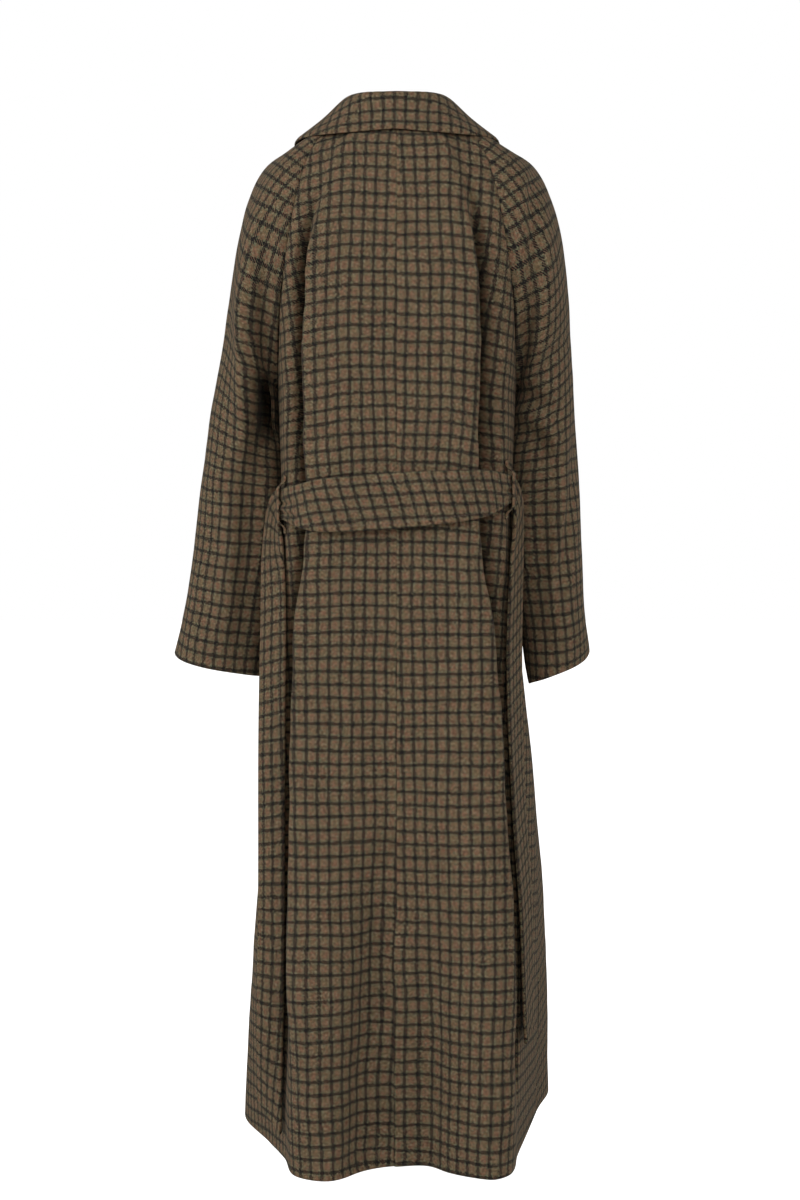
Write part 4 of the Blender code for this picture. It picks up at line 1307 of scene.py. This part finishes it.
def unrollStrip(first, second):  # lays a strip between two lines flat, row after row
    a, b = np.zeros((len(first), 2)), np.zeros((len(first), 2))
    b[0] = (0, np.linalg.norm(second[0] - first[0]))

    def corner(p, q, fromP, fromQ):
        base = np.linalg.norm(q - p)
        along = (fromP**2 - fromQ**2 + base**2) / (2 * base)
        off = math.sqrt(max(fromP**2 - along**2, 0))
        way = (q - p) / base
        return p + way * along + np.array([way[1], -way[0]]) * off

    for i in range(1, len(first)):
        a[i] = corner(a[i - 1], b[i - 1], np.linalg.norm(first[i] - first[i - 1]),
                      np.linalg.norm(first[i] - second[i - 1]))
        b[i] = corner(a[i], b[i - 1], np.linalg.norm(second[i] - first[i]),
                      np.linalg.norm(second[i] - second[i - 1]))
    return a, b


def makeCollar():
    halves = {}
    for side, word in words.items():
        points, slopes, roll, edge = collarHalf(neckline(side, word), side)
        flip = np.array([-side, 1])
        halves[side] = (points, slopes, *(line * flip for line in unrollStrip(roll, edge)))
    points, slopes, flatRoll, flatEdge = (
        np.concatenate([right[:0:-1], left]) for right, left in zip(halves[rightSide], halves[leftSide])
    )
    normals = -outward(points, slopes, 1)
    grid = evenColumns(points, normals, collarPlaces, collarPiece["columns"])
    points, normals, spot = grid["points"], grid["normals"], grid["place"]
    onFall = rising(spot, *collarPiece["fallFrom"])
    wave = unevenness(points, collarPiece["coarseWave"], collarPiece["fineWave"])
    along = np.linspace(-1, 1, len(points))[:, None]
    onShoulder = np.exp(-(((np.abs(along) - collarPiece["shoulderAt"]) / collarPiece["shoulderHalf"]) ** 2))
    broad, small = (np.sin(along * count + start) for count, start in collarPiece["ripples"])
    ripple = (broad * small + 1) * (1 - collarPiece["shoulderStill"] * onShoulder)
    ripple = ripple * rising(spot, *collarPiece["edgeFrom"])
    fallWave = np.maximum(wave, collarPiece["deepest"]) * (1 - collarPiece["shoulderFlat"] * onShoulder)
    lift = onFall * (fallWave + collarPiece["edgeWave"] * ripple)
    lift += (1 - onFall) * wave * collarPiece["standWave"]
    lift -= collarPiece["pressDepth"] * np.exp(-((grid["toEnd"] / collarPiece["pressWidth"]) ** 2))
    points = points + normals * lift[:, :, None]
    rollPlace = collarPiece["rollPlace"]
    rollRun = np.array([np.interp(rollPlace, *row) for row in zip(spot, grid["run"])])
    fallWay = unit(flatEdge - flatRoll)
    grain = flatRoll[:, None] + fallWay[:, None] * (grid["run"] - rollRun[:, None])[:, :, None]
    report("collar", grain, points)
    material = makeTweed("tweed_collar", collarPiece["checkShift"])
    free = ["end", "top", "bottom"]
    piece = clothMesh("cloth_collar", points, normals, collarPiece["cloth"], grain, free, material)
    place(piece, "collar", "tweed", collarPiece["flat"], collarPiece["area"])


makeCollar()
print("collar rolled")


# belt and its loops

beltPiece = {
    "cloth": 4.6 * mm,
    "rowsPerStep": 17,
    "columns": 13,
    "loopRows": (8.0, 17.0),
    "loopHalf": 1.3,
    "crumple": 1.5 * mm,
    "foldTurn": 0.55,
    "folds": ((1.0, 15, 1.0, 0.0), (0.6, 23, -1.7, 1.0)),
    "edgeCalm": 0.1,
    "tailFrom": (2.6, 2.0),
    "tailWave": 0.88 * mm,
    "swayDown": (3.1, 0.4),
    "swayAcross": (1.4, -0.5),
    "leftTailFrom": (3.0, 1.5),
    "leftTailEnd": 0.6,
    "tailBow": 3.0 * mm,
    "tailTurn": 20.0 * mm,
    "backFrom": (1.2, 1.5),
    "coarseWave": 1.8 * mm,
    "fineWave": 0.4 * mm,
    "deepest": -0.6 * mm,
    "slant": 0.27,
    "stitchInset": 5.0 * mm,
    "stitchRise": 0.1 * mm,
    "stitchEnds": 3,
    "checkShift": (0.004, 0.003),
    "flat": (0.064, 1.84),
    "area": 0.1,
}


def beltGrid():
    rows = len(belt["level"])
    levels = np.linspace(0, rows - 1, (rows - 1) * beltPiece["rowsPerStep"] + 1)
    lines = []
    for names in (("topX", "topY", "topZ"), ("lowX", "lowY", "lowZ")):
        knots = np.stack([belt[n] for n in names], axis=1)[None]
        ahead, behind = 2 * knots[:, 0] - knots[:, 1], 2 * knots[:, -1] - knots[:, -2]
        points, slopes = through(knots, ahead, behind, levels)
        lines.append((points[0], slopes[0]))
    shares = np.linspace(0, 1, 61)[None, :, None]
    points = lines[0][0][:, None] * (1 - shares) + lines[1][0][:, None] * shares
    along = lines[0][1][:, None] * (1 - shares) + lines[1][1][:, None] * shares
    across = (lines[1][0] - lines[0][0])[:, None]
    normals = unit(np.cross(across, along))
    grid = evenColumns(points, normals, shares[0, :, 0], beltPiece["columns"])
    return grid, levels


def makeBelt():
    grid, levels = beltGrid()
    points, normals, share = grid["points"], grid["normals"], grid["place"]
    firstLoop, lastLoop = beltPiece["loopRows"]
    # crumpled where the loops draw it together
    nearLoop = sum(np.exp(-(((levels - row) / beltPiece["loopHalf"]) ** 2)) for row in beltPiece["loopRows"])
    turn = levels[:, None] * beltPiece["foldTurn"]
    folds = sum(size * np.sin(share * count + turn * lean + start)
                for size, count, lean, start in beltPiece["folds"])
    fromEdges = ease(share / beltPiece["edgeCalm"]) * ease((1 - share) / beltPiece["edgeCalm"])
    lift = beltPiece["crumple"] * nearLoop[:, None] * folds * fromEdges
    # the tails sway, and the left one bows and turns to the back
    beforeFirst, pastLast = firstLoop - levels, levels - lastLoop
    onTail = rising(beforeFirst, *beltPiece["tailFrom"]) + rising(pastLast, *beltPiece["tailFrom"])
    (down, downStart), (over, overStart) = beltPiece["swayDown"], beltPiece["swayAcross"]
    sway = np.sin(levels * down + downStart)[:, None] * np.cos(share * over + overStart)
    lift += beltPiece["tailWave"] * onTail[:, None] * sway
    onLeft = rising(beforeFirst, *beltPiece["leftTailFrom"]) * ease(levels / beltPiece["leftTailEnd"])
    lift += beltPiece["tailBow"] * onLeft[:, None] * np.sin(math.pi * share)
    onBack = rising(-beforeFirst, *beltPiece["backFrom"]) * rising(-pastLast, *beltPiece["backFrom"])
    wave = unevenness(points, beltPiece["coarseWave"], beltPiece["fineWave"])
    lift += onBack[:, None] * np.maximum(wave, beltPiece["deepest"])
    points = points + normals * (beltPiece["cloth"] / 2 + lift)[:, :, None]
    points[:, :, 1] += beltPiece["tailTurn"] * onLeft[:, None] * (1 - share)
    grain = grainMap(points, 0, 0)
    grain[:, :, 1] = grain[:, :, 1].mean(axis=1, keepdims=True) - beltPiece["slant"] * grain[:, :, 0]
    report("belt", grain, points)
    material = makeTweed("tweed_belt", beltPiece["checkShift"])
    free = ["top", "bottom", "start", "end"]
    piece = clothMesh("cloth_belt", points, normals, beltPiece["cloth"], grain, free, material)
    rise, inset, ends = (beltPiece[key] for key in ("stitchRise", "stitchInset", "stitchEnds"))
    seams = []
    for skin in (points + normals * rise, points - normals * (beltPiece["cloth"] + rise)):
        for distance, order in ((grid["run"], 1), (grid["toEnd"], -1)):
            line = [[np.interp(inset, distance[i, ::order], skin[i, ::order, k]) for k in range(3)]
                    for i in range(ends, len(skin) - ends)]
            seams.append(np.array(line))
    return piece, seams


# edge stitching, laid along lines by geometry nodes

stitches = {
    "pitch": 4.4 * mm,
    "length": 3.3 * mm,
    "width": 0.62 * mm,
    "height": 0.42 * mm,
    "seed": 7,
    "least": (0.85, 0.85, 0.88),
    "most": (1.1, 1.1, 1.08),
    "twistScale": 1400.0,
    "colours": ((0.3, (0.07, 0.056, 0.036, 1)), (0.7, (0.125, 0.1, 0.066, 1))),
    "bump": 0.4,
    "relief": 0.2 * mm,
    "rough": 0.7,
    "sheen": 0.15,
}


def makeThread():
    material, tree, shader = newMaterial("sewing_thread")
    where = addNode(tree, "ShaderNodeTexCoord")
    twist = noiseIn(tree, where.outputs["Object"], stitches["twistScale"], 2.0)["Fac"]
    ramp = addNode(tree, "ShaderNodeValToRGB", {"Fac": twist})
    setRamp(ramp, stitches["colours"])
    bump = addNode(tree, "ShaderNodeBump", {"Height": twist},
                   {"Strength": stitches["bump"], "Distance": stitches["relief"]})
    tree.links.new(ramp.outputs["Color"], shader.inputs["Base Color"])
    tree.links.new(bump.outputs["Normal"], shader.inputs["Normal"])
    shader.inputs["Roughness"].default_value = stitches["rough"]
    shader.inputs["Sheen Weight"].default_value = stitches["sheen"]
    return material


def makeStitchTree(material):
    tree = bpy.data.node_groups.new("edgeStitching", "GeometryNodeTree")
    face = tree.interface
    face.new_socket("Geometry", in_out="INPUT", socket_type="NodeSocketGeometry")
    keys = {}
    for name in ("Pitch", "Length", "Width", "Height"):
        keys[name] = face.new_socket(name, in_out="INPUT", socket_type="NodeSocketFloat").identifier
    keys["Seed"] = face.new_socket("Seed", in_out="INPUT", socket_type="NodeSocketInt").identifier
    face.new_socket("Geometry", in_out="OUTPUT", socket_type="NodeSocketGeometry")
    inputs = addNode(tree, "NodeGroupInput").outputs
    result = addNode(tree, "NodeGroupOutput")
    path = addNode(tree, "GeometryNodeMeshToCurve", {"Mesh": inputs["Geometry"]})
    spaced = addNode(tree, "GeometryNodeResampleCurve", {"Curve": path.outputs[0]}, mode="LENGTH")
    tree.links.new(inputs["Pitch"], spaced.inputs["Length"])
    bead = addNode(tree, "GeometryNodeMeshUVSphere", values={"Segments": 6, "Rings": 4, "Radius": 0.5})
    size = addNode(tree, "ShaderNodeCombineXYZ",
                   {"X": inputs["Width"], "Y": inputs["Height"], "Z": inputs["Length"]})
    shaped = addNode(tree, "GeometryNodeTransform",
                     {"Geometry": bead.outputs["Mesh"], "Scale": size.outputs[0]})
    tangent = addNode(tree, "GeometryNodeInputTangent")
    aimed = addNode(tree, "FunctionNodeAlignRotationToVector", {"Vector": tangent.outputs[0]}, axis="Z")
    uneven = addNode(tree, "FunctionNodeRandomValue", {"Seed": inputs["Seed"]}, data_type="FLOAT_VECTOR")
    uneven.inputs[0].default_value = stitches["least"]
    uneven.inputs[1].default_value = stitches["most"]
    laid = addNode(tree, "GeometryNodeInstanceOnPoints",
                   {"Points": spaced.outputs[0], "Instance": shaped.outputs[0],
                    "Rotation": aimed.outputs[0], "Scale": uneven.outputs[0]})
    real = addNode(tree, "GeometryNodeRealizeInstances", {"Geometry": laid.outputs[0]})
    finished = addNode(tree, "GeometryNodeSetMaterial", {"Geometry": real.outputs[0]})
    finished.inputs["Material"].default_value = material
    tree.links.new(finished.outputs[0], result.inputs[0])
    return tree, keys


def makeStitches(name, lines):
    material = makeThread()
    tree, keys = makeStitchTree(material)
    verts, edges = [], []
    for line in lines:
        first = len(verts)
        verts.extend(line.tolist())
        edges.extend((first + i, first + i + 1) for i in range(len(line) - 1))
    guide = bpy.data.meshes.new(name + "_guide")
    guide.from_pydata(verts, edges, [])
    piece = addObject(name, guide)
    modifier = piece.modifiers.new("stitching", "NODES")
    modifier.node_group = tree
    for key in ("pitch", "length", "width", "height", "seed"):
        modifier[keys[key.capitalize()]] = stitches[key]
    graph = bpy.context.evaluated_depsgraph_get()
    mesh = bpy.data.meshes.new_from_object(piece.evaluated_get(graph))
    piece.modifiers.clear()
    piece.data = mesh
    bpy.data.meshes.remove(guide)
    if not mesh.materials:
        mesh.materials.append(material)
    mesh.shade_smooth()
    print(f"  {name}: {len(mesh.polygons)} faces")
    return piece


beltObject, seamLines = makeBelt()
beltStitches = makeStitches("belt_stitches", seamLines)
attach(beltStitches, "root")
place(beltObject, "belt", "belt_tweed", beltPiece["flat"], beltPiece["area"], [beltStitches])
print("belt threaded")

loops = {
    "cloth": 2.0 * mm,
    "rise": 9.5 * mm,
    "leftLevel": 1.141,
    "rightLevel": 1.122,
    "reach": 0.037,
    "place": 4.03,
    "spread": 0.056,
    "foot": 0.88,
    "top": 0.52,
    "crown": 0.35 * mm,
    "rows": 56,
    "columns": 8,
    "checkShift": (0.0065, 0.002),
    "flat": (0.010, 0.080),
}


def makeLoop(side, word):
    level = loops[word + "Level"]
    levels = np.linspace(level - loops["reach"], level + loops["reach"], loops["rows"] + 1)
    across = np.linspace(-1, 1, loops["columns"] + 1)
    points, normals = backSection(side, levels, loops["place"] + loops["spread"] * across)
    far = np.abs(levels - level) / loops["reach"]
    leg = ease((loops["foot"] - far) / (loops["foot"] - loops["top"]))
    lift = loops["cloth"] + body["seamGap"] + loops["rise"] * leg
    crown = loops["crown"] * (1 - across**2)
    points = points + normals * (lift[:, None] + crown[None])[:, :, None]
    grain = grainMap(points, 0, 0)
    report("belt_loop_" + word, grain, points)
    material = makeTweed("tweed_loop_" + word, loops["checkShift"])
    free = ["top", "bottom", "start", "end"]
    piece = clothMesh("cloth_belt_loop_" + word, points, normals, loops["cloth"], grain, free, material)
    place(piece, "belt_loop_" + word, "tweed", loops["flat"], None)


for side, word in words.items():
    makeLoop(side, word)
print("loops sewn on")


# studio

studio = {
    "floorDrop": 0.12,
    "floorSize": 14.0,
    "floorColour": (0.72, 0.72, 0.71, 1),
    "floorRough": 0.95,
    "floorSpecular": 0.1,
    "floorGlow": 1.0,
    "sky": 0.365,
    "skyColour": (1, 0.995, 0.985, 1),
    "keyPower": 31.0,
    "keySize": 2.0,
    "keyAt": (-0.4, 2.9, 1.1),
    "fillPower": 50.0,
    "fillSize": 1.8,
    "fillAt": (2.5, 1.6, 0.6),
    "sidePower": 16.0,
    "sideSize": 1.8,
    "sideAt": (-2.4, 1.3, 0.2),
    "target": (0.0, 0.0, -0.5),
}

cameraView = {"at": (-0.0037, 2.95, -0.285), "tilt": 5.9, "lens": 69.03, "sensor": 36.0}


def aimAt(thing, target):
    way = Vector(target) - thing.location
    thing.rotation_euler = way.to_track_quat("-Z", "Y").to_euler()


def addSoftLight(name, at, power, size):
    lamp = bpy.data.lights.new(name, "AREA")
    lamp.energy = power
    lamp.size = size
    thing = addObject(name, lamp)
    thing.location = at
    aimAt(thing, studio["target"])


def makeFloor():
    half = studio["floorSize"] / 2
    low = cadLow.z - studio["floorDrop"]
    mesh = bpy.data.meshes.new("studio_floor")
    corners = [(-half, -half, low), (half, -half, low), (half, half, low), (-half, half, low)]
    mesh.from_pydata(corners, [], [(0, 1, 2, 3)])
    material, tree, shader = newMaterial("pale_floor")
    shader.inputs["Base Color"].default_value = studio["floorColour"]
    shader.inputs["Roughness"].default_value = studio["floorRough"]
    shader.inputs["Specular IOR Level"].default_value = studio["floorSpecular"]
    shader.inputs["Emission Color"].default_value = (1, 1, 1, 1)
    seen = addNode(tree, "ShaderNodeLightPath")
    glow = calc(tree, "MULTIPLY", seen.outputs["Is Camera Ray"], studio["floorGlow"])
    tree.links.new(glow, shader.inputs["Emission Strength"])
    mesh.materials.append(material)
    floor = addObject("studio_floor", mesh)


def makeLight():
    world = bpy.data.worlds.new("studio_sky")
    world.use_nodes = True
    bpy.context.scene.world = world
    tree = world.node_tree
    sky = tree.nodes["Background"]
    sky.inputs["Color"].default_value = studio["skyColour"]
    sky.inputs["Strength"].default_value = studio["sky"]
    backdrop = addNode(tree, "ShaderNodeBackground", values={"Color": (1, 1, 1, 1), "Strength": 1.0})
    path = addNode(tree, "ShaderNodeLightPath")
    mix = addNode(tree, "ShaderNodeMixShader",
                  {0: path.outputs["Is Camera Ray"], 1: sky.outputs[0], 2: backdrop.outputs[0]})
    tree.links.new(mix.outputs[0], tree.nodes["World Output"].inputs["Surface"])
    for name in ("key", "fill", "side"):
        addSoftLight(name + "_light", studio[name + "At"], studio[name + "Power"], studio[name + "Size"])


def makeCamera():
    lens = bpy.data.cameras.new("photo_camera")
    lens.lens = cameraView["lens"]
    lens.sensor_width = cameraView["sensor"]
    thing = addObject("photo_camera", lens)
    thing.location = cameraView["at"]
    thing.rotation_euler = (math.radians(90 - cameraView["tilt"]), 0, math.radians(180))
    bpy.context.scene.camera = thing


makeFloor()
makeLight()
makeCamera()
bpy.context.scene.view_settings.view_transform = "Standard"
print("studio lit")
